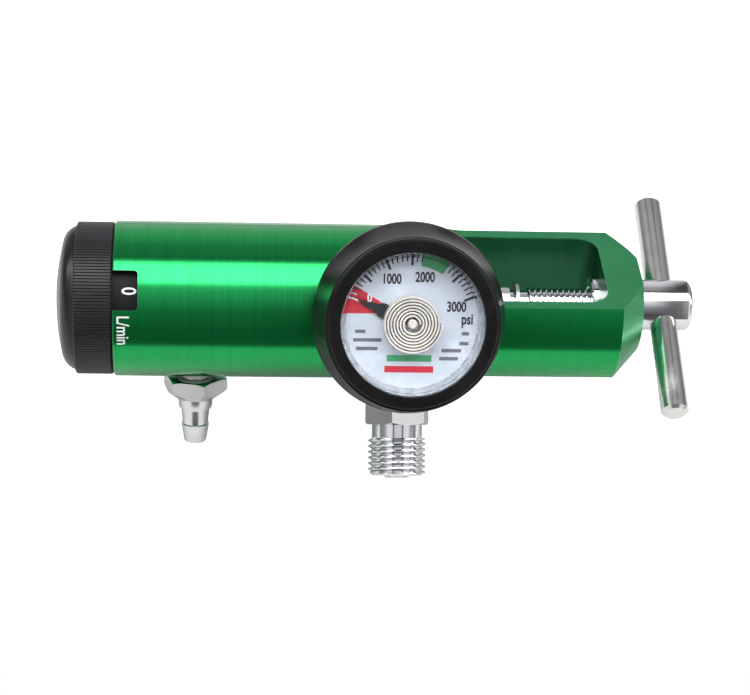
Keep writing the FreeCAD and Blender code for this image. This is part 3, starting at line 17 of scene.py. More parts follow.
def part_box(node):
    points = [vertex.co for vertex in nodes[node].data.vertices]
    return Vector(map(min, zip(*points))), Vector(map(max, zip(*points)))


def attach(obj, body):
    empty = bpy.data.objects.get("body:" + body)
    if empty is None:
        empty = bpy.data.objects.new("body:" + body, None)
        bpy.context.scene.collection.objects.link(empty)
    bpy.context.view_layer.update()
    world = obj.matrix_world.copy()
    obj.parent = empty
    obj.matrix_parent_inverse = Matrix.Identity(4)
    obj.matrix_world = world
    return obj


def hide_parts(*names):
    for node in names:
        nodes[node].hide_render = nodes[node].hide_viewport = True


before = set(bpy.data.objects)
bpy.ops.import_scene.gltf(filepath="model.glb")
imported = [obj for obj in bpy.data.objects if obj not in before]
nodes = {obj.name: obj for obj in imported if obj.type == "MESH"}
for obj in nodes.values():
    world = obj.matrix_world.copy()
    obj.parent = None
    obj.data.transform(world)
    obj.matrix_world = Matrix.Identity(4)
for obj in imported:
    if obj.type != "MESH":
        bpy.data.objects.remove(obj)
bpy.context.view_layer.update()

print("solids in the frame:", len(nodes))

# %% [markdown]
# ## Places on the object
# The body's axis is X, and every branch stands on it like a spoke. A branch is easiest to model
# upright at the origin, so one matrix turns a finished mesh to its spoke and slides it along the
# body. The mesh takes the matrix, and the object itself stays at the origin, as the solids do.

# %% Sizes in metres and the place of a branch
MM = 0.001
GAUGE_ANGLE, OUTLET_ANGLE = 60.0, 139.5
PORTS_AT = -12.0 * MM
BAR_ANGLE, BAR_AT = 108.0, 54.2 * MM
BARB_ANGLE, BARB_AT = 160.0, -61.9 * MM


def branch_place(station, angle):
    """Turns an upright mesh about the body's axis and moves it to its station."""
    return Matrix.Translation((station, 0, 0)) @ Matrix.Rotation(math.radians(angle), 4, "X")


gauge_place = branch_place(PORTS_AT, GAUGE_ANGLE)
outlet_place = branch_place(PORTS_AT, OUTLET_ANGLE)
lie_along_body = Matrix.Rotation(math.radians(90), 4, "Y")
print("gauge axis:", (gauge_place.to_3x3() @ Vector((0, 0, 1))).to_tuple(3))

# %% [markdown]
# ## Camera
# The photograph was taken with a long lens from a little above the front, with the camera tilted
# a few degrees. Points such as the ends of the T-bar and the rings of the gauge were matched to
# their places in the picture, and the angles below came out of that match.

# %% Camera from the matched angles
FOCAL_PIXELS, FRAME_WIDTH, SENSOR = 2000.0, 750.0, 36.0
turn, rise, tilt = (math.radians(a) for a in (5.97, 39.01, 4.40))
distance, shift_right, shift_up = 497.54 * MM, -16.77 * MM, -12.59 * MM

look = Vector((math.sin(turn) * math.cos(rise), math.cos(turn) * math.cos(rise), -math.sin(rise)))
level_right = Vector((math.cos(turn), -math.sin(turn), 0))
level_up = level_right.cross(look)
right = level_right * math.cos(tilt) + level_up * math.sin(tilt)
up = level_up * math.cos(tilt) - level_right * math.sin(tilt)
eye = level_right * shift_right + level_up * shift_up - look * distance

camera_data = bpy.data.cameras.new("camera")
camera_data.sensor_width = SENSOR
camera_data.lens = SENSOR * FOCAL_PIXELS / FRAME_WIDTH
camera_data.clip_start, camera_data.clip_end = 0.01, 20.0
camera = bpy.data.objects.new("camera", camera_data)
camera.matrix_world = Matrix((right, up, -look)).transposed().to_4x4()
camera.location = eye
bpy.context.scene.collection.objects.link(camera)
bpy.context.scene.camera = camera
bpy.context.scene.view_settings.view_transform = "Standard"
print("camera stands at", eye.to_tuple(3), "lens", round(camera_data.lens, 1))

# %% [markdown]
# ## Studio
# Metal shows the room it stands in more than its own colour. The photograph's body has a bright
# band from a soft box overhead, a dark belly from the unlit space in front, and a pale underside
# from a white table whose front edge is near. So the room has just these: a white floor that ends
# in front of the object, a soft box above, a dim one at each side, and walls that go from dark in
# front to pale behind and at the sides. The room looks white to the camera only.

# %% Helpers for materials
def new_material(name):
    """A material with its shader, ready for the nodes of one finish."""
    material = bpy.data.materials.new(name)
    material.use_nodes = True
    return material, material.node_tree, material.node_tree.nodes["Principled BSDF"]


def add(tree, kind, **values):
    """One node, with its settings and the values of its inputs."""
    node = tree.nodes.new(kind)
    for key, value in values.items():
        if key in node.inputs:
            node.inputs[key].default_value = value
        else:
            setattr(node, key, value)
    return node


def wire(tree, *pairs):
    """Links, each from an output to an input."""
    for source, target in pairs:
        tree.links.new(source, target)


def maths(tree, operation, *terms, **settings):
    """The result of one operation on numbers and outputs."""
    node = add(tree, "ShaderNodeMath", operation=operation, **settings)
    for socket, term in zip(node.inputs, terms):
        if isinstance(term, (int, float)):
            socket.default_value = term
        else:
            tree.links.new(term, socket)
    return node.outputs[0]


def mix_colours(tree, mask, low, high):
    """A colour that goes from low to high where the mask does."""
    mix = add(tree, "ShaderNodeMix", data_type="RGBA")
    tree.links.new(mask, mix.inputs[0])
    for socket, value in ((mix.inputs[6], low), (mix.inputs[7], high)):
        if isinstance(value, tuple):
            socket.default_value = (*value, 1)
        else:
            tree.links.new(value, socket)
    return mix.outputs[2]


# %% Floor
FLOOR_LEVEL, FLOOR_FRONT = -45.5 * MM, -81 * MM
FLOOR_WIDTH, FLOOR_DEPTH = 3.0, 2.4
GLOW_TO_CAMERA, GLOW_IN_MIRRORS = 0.80, 0.02

bm = bmesh.new()
bmesh.ops.create_grid(bm, x_segments=1, y_segments=1, size=0.5)
bmesh.ops.scale(bm, vec=(FLOOR_WIDTH, FLOOR_DEPTH, 1), verts=bm.verts)
bmesh.ops.translate(bm, vec=(-0.02, FLOOR_DEPTH / 2 + FLOOR_FRONT, FLOOR_LEVEL), verts=bm.verts)
floor_mesh = bpy.data.meshes.new("floor")
bm.to_mesh(floor_mesh)
bm.free()
floor = bpy.data.objects.new("floor", floor_mesh)
bpy.context.scene.collection.objects.link(floor)

paper, tree, shader = new_material("white_paper")
coords = add(tree, "ShaderNodeTexCoord")
mottle = add(tree, "ShaderNodeTexNoise", Scale=6.0, Detail=3.0)
tone = mix_colours(tree, mottle.outputs["Fac"], (0.62, 0.62, 0.62), (0.66, 0.66, 0.655))
rays = add(tree, "ShaderNodeLightPath")
seen_glow = maths(tree, "MULTIPLY", rays.outputs["Is Camera Ray"], GLOW_TO_CAMERA)
mirror_glow = maths(tree, "MULTIPLY", rays.outputs["Is Glossy Ray"], GLOW_IN_MIRRORS)
glow = maths(tree, "MAXIMUM", seen_glow, mirror_glow)
wire(tree, (coords.outputs["Object"], mottle.inputs["Vector"]), (tone, shader.inputs["Base Color"]),
     (glow, shader.inputs["Emission Strength"]))
shader.inputs["Roughness"].default_value = 0.9
shader.inputs["Specular IOR Level"].default_value = 0.1
shader.inputs["Emission Color"].default_value = (1, 1, 1, 1)
floor.data.materials.append(paper)
print("floor level:", FLOOR_LEVEL)

# %% Helpers for ranges and ramps
def ranged(tree, value, from_low, from_high, to_low=0.0, to_high=1.0, **settings):
    """A value that is moved from one range to another and held inside it."""
    node = add(tree, "ShaderNodeMapRange", **settings)
    for label, number in (("From Min", from_low), ("From Max", from_high),
                          ("To Min", to_low), ("To Max", to_high)):
        node.inputs[label].default_value = number
    tree.links.new(value, node.inputs["Value"])
    return node.outputs["Result"]


def tone_ramp(tree, place, stops, blue=1.0):
    """A grey that goes through (place, tone) stops, with a share more blue."""
    ramp = add(tree, "ShaderNodeValToRGB")
    elements = ramp.color_ramp.elements
    while len(elements) < len(stops):
        elements.new(0.5)
    for element, (position, tone) in zip(elements, stops):
        element.position = position
        element.color = (tone, tone, tone * blue, 1)
    tree.links.new(place, ramp.inputs[0])
    return ramp.outputs[0]


# %% Room colour
# Each wall tone stands at an angle that is counted from the front horizon over the top.
WALL_TONES = ((-180, 0.60), (-75, 0.34), (-30, 0.06), (-8, 0.07), (8, 0.17), (24, 0.30), (38, 0.68),
              (56, 1.05), (88, 0.60), (93, 0.05), (101, 0.05), (107, 0.34), (124, 0.42), (140, 0.74),
              (180, 0.80))
# Each side tone stands at a share of the way out to the side. The first two are a dark stripe,
# which gives the chromed fittings their dark edges.
SIDE_TONES = ((0.30, 0.14), (0.37, 0.14), (0.46, 0.86), (0.74, 0.86), (0.90, 0.34), (1.0, 0.26))
SIDES_FROM, SIDES_FULL = 0.26, 0.33
BEHIND_FROM, BEHIND_FULL, BEHIND_SHARE = -0.10, 0.25, 0.36

world = bpy.data.worlds.new("room")
bpy.context.scene.world = world
world.use_nodes = True
tree = world.node_tree
room = tree.nodes["Background"]
towards = add(tree, "ShaderNodeTexCoord")
split = add(tree, "ShaderNodeSeparateXYZ")
wire(tree, (towards.outputs["Generated"], split.inputs[0]))
sideways, away, upwards = (split.outputs[axis] for axis in "XYZ")
round_angle = maths(tree, "ARCTAN2", upwards, maths(tree, "MULTIPLY", away, -1.0))
walls = tone_ramp(tree, ranged(tree, round_angle, -math.pi, math.pi),
                  [((degrees + 180) / 360, tone) for degrees, tone in WALL_TONES], 1.03)
beside = maths(tree, "ABSOLUTE", sideways)
side_light = add(tree, "ShaderNodeVectorMath", operation="SCALE")
wire(tree, (tone_ramp(tree, beside, SIDE_TONES), side_light.inputs[0]),
     (ranged(tree, away, BEHIND_FROM, BEHIND_FULL, 1.0, BEHIND_SHARE), side_light.inputs["Scale"]))
side_share = ranged(tree, beside, SIDES_FROM, SIDES_FULL, interpolation_type="SMOOTHSTEP")
wire(tree, (mix_colours(tree, side_share, walls, side_light.outputs[0]), room.inputs["Color"]))
white_room = add(tree, "ShaderNodeBackground", Color=(1, 1, 1, 1))
choice = add(tree, "ShaderNodeMixShader")
rays = add(tree, "ShaderNodeLightPath")
wire(tree, (rays.outputs["Is Camera Ray"], choice.inputs[0]), (room.outputs[0], choice.inputs[1]),
     (white_room.outputs[0], choice.inputs[2]),
     (choice.outputs[0], tree.nodes["World Output"].inputs["Surface"]))
print("wall tones:", len(WALL_TONES), "and side tones:", len(SIDE_TONES))

# %% Lamps
# Each lamp has its place, its size in metres and its power in watts.
LAMPS = {
    "overhead_box": ((0.0, -0.153, 0.636), (1.2, 0.39), 6.6),
    "left_box": ((-0.70, 0.10, 0.50), (0.25, 0.45), 1.2),
    "right_box": ((0.80, -0.10, 0.40), (0.3, 0.5), 1.4),
}
for name, (place, size, watts) in LAMPS.items():
    data = bpy.data.lights.new(name, "AREA")
    data.shape = "RECTANGLE"
    data.size, data.size_y = size
    data.energy = watts
    lamp = bpy.data.objects.new(name, data)
    lamp.location = place
    lamp.rotation_euler = (-Vector(place)).to_track_quat("-Z", "Y").to_euler()
    bpy.context.scene.collection.objects.link(lamp)
print("lamps:", list(LAMPS))

# %% [markdown]
# ## Effects that several finishes share
# Cutter marks, worn edges with a painted highlight, moulded grain and the dull film of handling
# appear on many pieces at different scales. Each is built once as a node group with named inputs,
# and every material sets its own numbers. A group hands out only a mask or a height, and the shader
# stays in the material.

# %% Helpers for node groups
def new_group(name, inputs, outputs):
    """An empty node group with its named sockets and its two end nodes."""
    group = bpy.data.node_groups.new(name, "ShaderNodeTree")
    for label, kind, value in inputs:
        socket = group.interface.new_socket(label, in_out="INPUT", socket_type=kind)
        if value is not None:
            socket.default_value = value
    for label in outputs:
        group.interface.new_socket(label, in_out="OUTPUT", socket_type="NodeSocketFloat")
    return group, add(group, "NodeGroupInput"), add(group, "NodeGroupOutput")


def place_group(tree, group, vector, **values):
    """The outputs of a shared effect, placed on coordinates with its own numbers."""
    node = add(tree, "ShaderNodeGroup", node_tree=group)
    for label, value in values.items():
        node.inputs[label].default_value = value
    tree.links.new(vector, node.inputs["Vector"])
    return node.outputs


# %% Cutter marks that run round the body's axis
cutter_marks, start, end = new_group(
    "cutter marks",
    [("Vector", "NodeSocketVector", None), ("Spacing", "NodeSocketFloat", 2500.0),
     ("Length", "NodeSocketFloat", 60.0)],
    ["Height", "Streak"])
along = add(cutter_marks, "ShaderNodeCombineXYZ")
stretched = add(cutter_marks, "ShaderNodeVectorMath", operation="MULTIPLY")
fine = add(cutter_marks, "ShaderNodeTexNoise", Scale=1.0, Detail=4.0, Roughness=0.65)
wide = add(cutter_marks, "ShaderNodeTexNoise", Scale=0.8, Detail=5.0, Roughness=0.7)
wire(cutter_marks, (start.outputs["Spacing"], along.inputs["X"]),
     (start.outputs["Length"], along.inputs["Y"]), (start.outputs["Length"], along.inputs["Z"]),
     (start.outputs["Vector"], stretched.inputs[0]), (along.outputs[0], stretched.inputs[1]),
     (stretched.outputs[0], fine.inputs["Vector"]), (stretched.outputs[0], wide.inputs["Vector"]),
     (fine.outputs["Fac"], end.inputs["Height"]),
     (ranged(cutter_marks, wide.outputs["Fac"], 0.32, 0.68), end.inputs["Streak"]))
print("group made:", cutter_marks.name)

# %% Worn edges, with a painted highlight on them
worn_and_highlit_edges, start, end = new_group(
    "worn and highlit edges",
    [("Width", "NodeSocketFloat", 0.00025), ("Amount", "NodeSocketFloat", 0.6),
     ("Vector", "NodeSocketVector", None)],
    ["Mask"])
rounded = add(worn_and_highlit_edges, "ShaderNodeBevel", samples=4)
surface = add(worn_and_highlit_edges, "ShaderNodeNewGeometry")
agree = add(worn_and_highlit_edges, "ShaderNodeVectorMath", operation="DOT_PRODUCT")
patches = add(worn_and_highlit_edges, "ShaderNodeTexNoise", Scale=900.0, Detail=3.0)
wire(worn_and_highlit_edges, (start.outputs["Width"], rounded.inputs["Radius"]),
     (rounded.outputs[0], agree.inputs[0]), (surface.outputs["Normal"], agree.inputs[1]),
     (start.outputs["Vector"], patches.inputs["Vector"]))
# The mask marks the edges both for wear and for a painted highlight where an edge would catch the
# light.
edge = ranged(worn_and_highlit_edges, agree.outputs["Value"], 0.995, 0.90)
broken = maths(worn_and_highlit_edges, "MULTIPLY", edge, patches.outputs["Fac"])
amount = maths(worn_and_highlit_edges, "MULTIPLY", broken, start.outputs["Amount"], use_clamp=True)
wire(worn_and_highlit_edges, (amount, end.inputs["Mask"]))
print("group made:", worn_and_highlit_edges.name)

# %% Moulded grain and the film of handling
moulded_grain, start, end = new_group(
    "moulded grain",
    [("Vector", "NodeSocketVector", None), ("Scale", "NodeSocketFloat", 3000.0)],
    ["Height"])
cells = add(moulded_grain, "ShaderNodeTexVoronoi", feature="SMOOTH_F1")
cloud = add(moulded_grain, "ShaderNodeTexNoise", Detail=3.0)
for texture in (cells, cloud):
    wire(moulded_grain, (start.outputs["Vector"], texture.inputs["Vector"]),
         (start.outputs["Scale"], texture.inputs["Scale"]))
grain = maths(moulded_grain, "ADD", cells.outputs["Distance"], cloud.outputs["Fac"])
wire(moulded_grain, (grain, end.inputs["Height"]))

handling_film, start, end = new_group(
    "handling film",
    [("Vector", "NodeSocketVector", None), ("Scale", "NodeSocketFloat", 60.0)],
    ["Mask"])
film = add(handling_film, "ShaderNodeTexNoise", Detail=5.0, Roughness=0.6, Distortion=0.8)
wire(handling_film, (start.outputs["Vector"], film.inputs["Vector"]),
     (start.outputs["Scale"], film.inputs["Scale"]),
     (ranged(handling_film, film.outputs["Fac"], 0.45, 0.75), end.inputs["Mask"]))
print("shared effects:", [g.name for g in bpy.data.node_groups])

# %% [markdown]
# ## Metals
# All the bare metals share one recipe. Streaks from the cutter change the colour and a very small
# bump, a film of handling dulls some patches, and the edges are painted brighter, partly as wear
# and partly as a painted highlight. A turned piece that doesn't lie along the body has its
# coordinates turned first, so that its marks still run round its own axis.

# %% Recipe for a metal finish
MARK_DEPTH = 0.02 * MM


def turned_coordinates(tree, angle, station):
    """Object coordinates, turned so that X runs along the piece's own axis."""
    coords = add(tree, "ShaderNodeTexCoord")
    if angle is None:
        return coords.outputs["Object"]
    mapping = add(tree, "ShaderNodeMapping", vector_type="TEXTURE")
    mapping.inputs["Location"].default_value = (station, 0, 0)
    axis_turn = branch_place(0, angle) @ Matrix.Rotation(math.radians(-90), 4, "Y")
    mapping.inputs["Rotation"].default_value = axis_turn.to_euler()
    tree.links.new(coords.outputs["Object"], mapping.inputs["Vector"])
    return mapping.outputs[0]


def add_bump(tree, shader, height, strength, depth):
    """Marks that are too fine for the mesh."""
    bump = add(tree, "ShaderNodeBump", Strength=strength, Distance=depth)
    wire(tree, (height, bump.inputs["Height"]), (bump.outputs[0], shader.inputs["Normal"]))


def metal(name, colour, worn_and_lit_edge, roughness, spacing=2500.0, marks=0.25, angle=None, station=0.0):
    """A metal with cutter marks, a handling film, and edges painted paler for wear and as a painted
    highlight.
    """
    material, tree, shader = new_material(name)
    vector = turned_coordinates(tree, angle, station)
    lines = place_group(tree, cutter_marks, vector, Spacing=spacing, Length=spacing / 40)
    edges = place_group(tree, worn_and_highlit_edges, vector, Amount=0.5)
    touched = place_group(tree, handling_film, vector, Scale=70.0)
    streaked = mix_colours(tree, lines["Streak"], tuple(c * 0.93 for c in colour), colour)
    finished = mix_colours(tree, edges["Mask"], streaked, worn_and_lit_edge)
    dull = ranged(tree, touched["Mask"], 0.0, 1.0, roughness, roughness * 1.6 + 0.02)
    wire(tree, (finished, shader.inputs["Base Color"]), (dull, shader.inputs["Roughness"]))
    add_bump(tree, shader, lines["Height"], marks, MARK_DEPTH)
    shader.inputs["Metallic"].default_value = 1.0
    return material


# %% Plated and bare metals
# The second colour of each metal is painted on its edges: paler for wear, and a painted highlight
# where an edge catches the light.
CHROME, CHROME_WORN_AND_LIT = (0.80, 0.81, 0.83), (0.90, 0.91, 0.92)
NICKEL, NICKEL_WORN_AND_LIT = (0.74, 0.74, 0.74), (0.86, 0.86, 0.86)
BRASS, BRASS_WORN_AND_LIT = (0.70, 0.52, 0.23), (0.85, 0.70, 0.38)
STEEL, STEEL_WORN_AND_LIT = (0.50, 0.50, 0.51), (0.68, 0.68, 0.68)

chrome_screw = metal("chrome_screw", CHROME, CHROME_WORN_AND_LIT, 0.09, marks=0.3)
chrome_bar = metal("chrome_bar", (0.78, 0.78, 0.76), CHROME_WORN_AND_LIT, 0.17, 1800.0, 0.35,
                   BAR_ANGLE, BAR_AT)
chrome_outlet = metal("chrome_outlet", CHROME, CHROME_WORN_AND_LIT, 0.10, 2200.0, 0.3,
                      OUTLET_ANGLE, PORTS_AT)
satin_barb = metal("satin_barb", NICKEL, NICKEL_WORN_AND_LIT, 0.17, 2600.0, 0.4, BARB_ANGLE, BARB_AT)
satin_nickel = metal("satin_nickel", NICKEL, NICKEL_WORN_AND_LIT, 0.26, marks=0.5)
spring_steel = metal("spring_steel", STEEL, STEEL_WORN_AND_LIT, 0.30, 1500.0, 0.4)
machined_brass = metal("machined_brass", BRASS, BRASS_WORN_AND_LIT, 0.22, marks=0.5)
gauge_steel = metal("gauge_steel", (0.62, 0.61, 0.58), (0.80, 0.79, 0.76), 0.25, 2500.0, 0.4,
                    GAUGE_ANGLE, PORTS_AT)
coil_metal = metal("coil_metal", (0.90, 0.86, 0.80), (0.98, 0.96, 0.92), 0.50, 3500.0, 0.3,
                   GAUGE_ANGLE, PORTS_AT)
print("materials so far:", len(bpy.data.materials))

# %% [markdown]
# ## Green anodised aluminium
# Anodising leaves a clear coloured skin on the bare metal, so the reflections themselves are
# green, and near the rim of the bar they go pale. The round of the bar keeps the lathe's fine
# lines, which smear a reflection along the bar and leave it sharp across. The flats and the window
# were milled after it, and are more matt. How far a point is from the body's axis tells the two
# apart, which needs no painting by hand.

# %% Anodised finish
TURNED_FROM, TURNED_FULL = 18.80 * MM, 18.95 * MM
WINDOW_DEPTH, WINDOW_END = 10.3 * MM, 38.5 * MM
MILLED_ROUGH, TURNED_ROUGH, LATHE_SMEAR = 0.46, 0.26, 0.85

anodised, tree, shader = new_material("green_anodised")
vector = turned_coordinates(tree, None, 0)
lines = place_group(tree, cutter_marks, vector, Spacing=2600.0, Length=26.0)
edges = place_group(tree, worn_and_highlit_edges, vector, Width=0.3 * MM, Amount=0.9)
touched = place_group(tree, handling_film, vector, Scale=45.0)

parts = add(tree, "ShaderNodeSeparateXYZ")
across = add(tree, "ShaderNodeCombineXYZ")
radius = add(tree, "ShaderNodeVectorMath", operation="LENGTH")
wire(tree, (vector, parts.inputs[0]), (parts.outputs["Y"], across.inputs["Y"]),
     (parts.outputs["Z"], across.inputs["Z"]), (across.outputs[0], radius.inputs[0]))
turned_mask = ranged(tree, radius.outputs["Value"], TURNED_FROM, TURNED_FULL)

milled = mix_colours(tree, touched["Mask"], (0.032, 0.285, 0.108), (0.042, 0.32, 0.128))
round_green = mix_colours(tree, lines["Streak"], (0.004, 0.31, 0.066), (0.008, 0.38, 0.092))
# The window is cut in one deep pass, and its walls are painted darker than the flats, as painted shade
# inside the recess.
in_window = maths(tree, "LESS_THAN", maths(tree, "ABSOLUTE", parts.outputs["Z"]), WINDOW_DEPTH)
before_end = maths(tree, "LESS_THAN", parts.outputs["X"], WINDOW_END)
window_shade_mask = maths(tree, "MULTIPLY", in_window, before_end)
milled = mix_colours(tree, window_shade_mask, milled, (0.010, 0.120, 0.042))
green = mix_colours(tree, turned_mask, milled, round_green)
# The edges are painted pale green, for wear and as a painted highlight.
green = mix_colours(tree, edges["Mask"], green, (0.16, 0.58, 0.32))
rough = ranged(tree, turned_mask, 0.0, 1.0, MILLED_ROUGH, TURNED_ROUGH)
round_way = add(tree, "ShaderNodeTangent", direction_type="RADIAL", axis="X")
wire(tree, (green, shader.inputs["Base Color"]), (rough, shader.inputs["Roughness"]),
     (round_way.outputs[0], shader.inputs["Tangent"]),
     (maths(tree, "MULTIPLY", turned_mask, LATHE_SMEAR), shader.inputs["Anisotropic"]))
add_bump(tree, shader, lines["Height"], 0.35, MARK_DEPTH)
for label, value in (("Metallic", 0.95), ("Specular IOR Level", 0.6), ("Anisotropic Rotation", 0.25),
                     ("Coat Weight", 0.25), ("Coat Roughness", 0.15)):
    shader.inputs[label].default_value = value
print("anodised finish ready")

# %% [markdown]
# ## Plastics, rubbers, glass and print
# The knob is moulded in two blacks, a satin one for the ribbed ring and a polished one for the
# cap. Rubber is duller, with a soft grain. The lens is clear plastic, and the dial is white tin.

# %% Recipe for a moulded finish
GRAIN_DEPTH = 0.03 * MM


def moulded(name, colour, worn_and_lit_edge, roughness, grain, strength, edge_wear_and_highlight=0.35, shine=0.5):
    """A moulded plastic or rubber with grain, a handling film and paler edges, for wear and as a
    painted highlight.
    """
    material, tree, shader = new_material(name)
    vector = add(tree, "ShaderNodeTexCoord").outputs["Object"]
    skin = place_group(tree, moulded_grain, vector, Scale=grain)
    edges = place_group(tree, worn_and_highlit_edges, vector, Width=0.2 * MM, Amount=edge_wear_and_highlight)
    touched = place_group(tree, handling_film, vector, Scale=90.0)
    tone = mix_colours(tree, touched["Mask"], colour, tuple(c * 1.35 + 0.002 for c in colour))
    dull = ranged(tree, touched["Mask"], 0.0, 1.0, roughness, roughness * 1.35)
    wire(tree, (mix_colours(tree, edges["Mask"], tone, worn_and_lit_edge), shader.inputs["Base Color"]),
         (dull, shader.inputs["Roughness"]))
    add_bump(tree, shader, skin["Height"], strength, GRAIN_DEPTH)
    shader.inputs["Specular IOR Level"].default_value = shine
    return material


BLACK = (0.006, 0.006, 0.007)
# The second colour of each finish is painted on its edges: paler for wear, and a painted highlight.
ribbed_plastic = moulded("ribbed_plastic", (0.013, 0.0125, 0.015), (0.09, 0.09, 0.10), 0.40,
                         2600.0, 0.35, 0.5, shine=0.35)
cap_plastic = moulded("cap_plastic", BLACK, (0.03, 0.03, 0.035), 0.26, 1500.0, 0.04, shine=0.4)
drum_plastic = moulded("drum_plastic", (0.008, 0.008, 0.009), (0.03, 0.03, 0.03), 0.55, 3000.0, 0.3,
                       shine=0.2)
boot_rubber = moulded("boot_rubber", (0.005, 0.005, 0.0055), (0.11, 0.115, 0.11), 0.28, 2200.0,
                      0.25, 0.7, shine=0.2)
seal_rubber = moulded("seal_rubber", (0.018, 0.018, 0.018), (0.06, 0.06, 0.06), 0.5, 2500.0, 0.3)
pointer_paint = moulded("pointer_paint", BLACK, (0.08, 0.08, 0.08), 0.4, 4000.0, 0.15)
dial_white = moulded("dial_white", (0.60, 0.665, 0.755), (0.63, 0.69, 0.775), 0.5, 6000.0, 0.05)
black_ink = moulded("black_ink", (0.012, 0.013, 0.018), (0.03, 0.03, 0.03), 0.55, 6000.0, 0.1)
red_ink = moulded("red_ink", (0.62, 0.012, 0.035), (0.66, 0.03, 0.06), 0.5, 6000.0, 0.1)
green_ink = moulded("green_ink", (0.045, 0.36, 0.14), (0.06, 0.40, 0.16), 0.5, 6000.0, 0.1)
small_ink = moulded("small_ink", (0.13, 0.14, 0.17), (0.16, 0.17, 0.20), 0.55, 6000.0, 0.1)
white_ink = moulded("white_ink", (0.80, 0.81, 0.82), (0.82, 0.83, 0.84), 0.5, 6000.0, 0.1)

# %% Clear lens
lens_clear, tree, shader = new_material("lens_clear")
vector = add(tree, "ShaderNodeTexCoord").outputs["Object"]
touched = place_group(tree, handling_film, vector, Scale=40.0)
wire(tree, (ranged(tree, touched["Mask"], 0.0, 1.0, 0.0, 0.02), shader.inputs["Roughness"]))
shader.inputs["Transmission Weight"].default_value = 1.0
shader.inputs["IOR"].default_value = 1.49
shader.inputs["Base Color"].default_value = (0.98, 0.99, 1.0, 1)
print("materials made:", len(bpy.data.materials))

# %% [markdown]
# ## Finishes on the solids
# The shapes of most solids are right as they are, so they keep their meshes and only get a
# finish. One table says which, and a solid that is missing from it stops the script.

# %% Hand out the finishes
finish_of = {
    "regulator_body": anodised, "t_bar": chrome_bar, "clamp_screw": chrome_screw,
    "screw_bush": chrome_screw, "outlet_fitting": chrome_outlet, "screw_clip": spring_steel,
    "swivel_pad": satin_nickel, "hose_barb": satin_barb, "index_pins": spring_steel,
    "inlet_nipple": machined_brass, "inlet_filter": machined_brass, "nozzle": machined_brass,
    "stem_guide": machined_brass, "piston": machined_brass, "flow_head": machined_brass,
    "orifice_plate": machined_brass, "outlet_guide": chrome_outlet, "outlet_poppet": chrome_outlet,
    "coil_post": coil_metal, "bourdon_coil": coil_metal, "gauge_case": gauge_steel,
    "main_spring": spring_steel, "retaining_ring": spring_steel, "detent_spring": spring_steel,
    "detent_ball": spring_steel, "outlet_spring": spring_steel, "selector_shaft": spring_steel,
    "knob_screw": spring_steel, "barb_washer": white_ink, "inlet_washer": seal_rubber,
    "stem_ring": seal_rubber, "piston_ring": seal_rubber, "piston_seat": seal_rubber,
    "head_ring": seal_rubber, "plate_seal": seal_rubber, "shaft_ring": seal_rubber,
    "outlet_ring": seal_rubber, "gauge_boot": boot_rubber, "dial_plate": dial_white,
    "gauge_lens": lens_clear, "pointer": pointer_paint, "number_drum": drum_plastic,
    "knob_grip": ribbed_plastic, "knob_cap": cap_plastic,
}
for name, thing in nodes.items():
    thing.data.materials.clear()
    thing.data.materials.append(finish_of[name])
# Light reaches the dial through the clear lens, so the lens throws no shadow on it.
nodes["gauge_lens"].visible_shadow = False
print("solids with a finish:", len(finish_of), "of", len(nodes))

# %% [markdown]
# ## Real screw threads
# A thread is a small V that climbs round a core. One V's outline is spun about the axis while it
# moves up by one pitch a turn, which makes a continuous ridge, and two cuts across the axis trim
# its ends square. The core, the collar and the hexagon are spun or cut in the same mesh.

# %% Helpers for turned and threaded pieces
ROUND_STEPS, BORE_STEPS, CONE_STEPS = 96, 48, 60
UPRIGHT = {"cent": (0, 0, 0), "axis": (0, 0, 1)}


def cut_away(bm, point, facing):
    """Cuts off what lies on the facing side of a plane."""
    bmesh.ops.bisect_plane(bm, geom=bm.verts[:] + bm.edges[:] + bm.faces[:], dist=1e-7,
                           plane_co=point, plane_no=facing, clear_outer=True, clear_inner=False)


def open_rim(bm, level, tolerance):
    """The open edges that lie at one level."""
    return [e for e in bm.edges if e.is_boundary and
            all(abs(v.co.z - level * MM) < tolerance for v in e.verts)]


def spun_profile(points):
    """A closed turned shape: its outline of (level, radius) points spun round the upright axis."""
    bm = bmesh.new()
    row = [bm.verts.new((r * MM, 0, z * MM)) for z, r in points]
    lines = [bm.edges.new(pair) for pair in zip(row, row[1:])]
    bmesh.ops.spin(bm, geom=row + lines, dvec=(0, 0, 0), angle=math.tau, steps=ROUND_STEPS,
                   use_merge=True, use_duplicate=False, **UPRIGHT)
    bmesh.ops.remove_doubles(bm, verts=bm.verts, dist=1e-7)
    bmesh.ops.recalc_face_normals(bm, faces=bm.faces)
    return bm


def threaded_sleeve(crest, root, low, high, pitch, steps=48):
    """A closed threaded rod between two levels, with rounded crests."""
    bm = bmesh.new()
    outline = ((0.0, root), (0.08, root), (0.36, crest - 0.04), (0.44, crest), (0.52, crest),
               (0.60, crest - 0.04), (0.92, root), (1.0, root))
    base = low - 1.5 * pitch
    row = [bm.verts.new((r * MM, 0, (base + share * pitch) * MM)) for share, r in outline]
    lines = [bm.edges.new(pair) for pair in zip(row, row[1:])]
    turns = math.ceil((high - base) / pitch) + 1
    bmesh.ops.spin(bm, geom=row + lines, dvec=(0, 0, pitch * MM / steps), angle=math.tau * turns,
                   steps=steps * turns, use_merge=False, use_duplicate=False, **UPRIGHT)
    bmesh.ops.remove_doubles(bm, verts=bm.verts, dist=2e-6)
    for level, outward in ((low, -1), (high, 1)):
        cut_away(bm, (0, 0, level * MM), (0, 0, outward))
        bmesh.ops.holes_fill(bm, edges=open_rim(bm, level, 1e-6), sides=0)
    bmesh.ops.recalc_face_normals(bm, faces=bm.faces)
    return bm


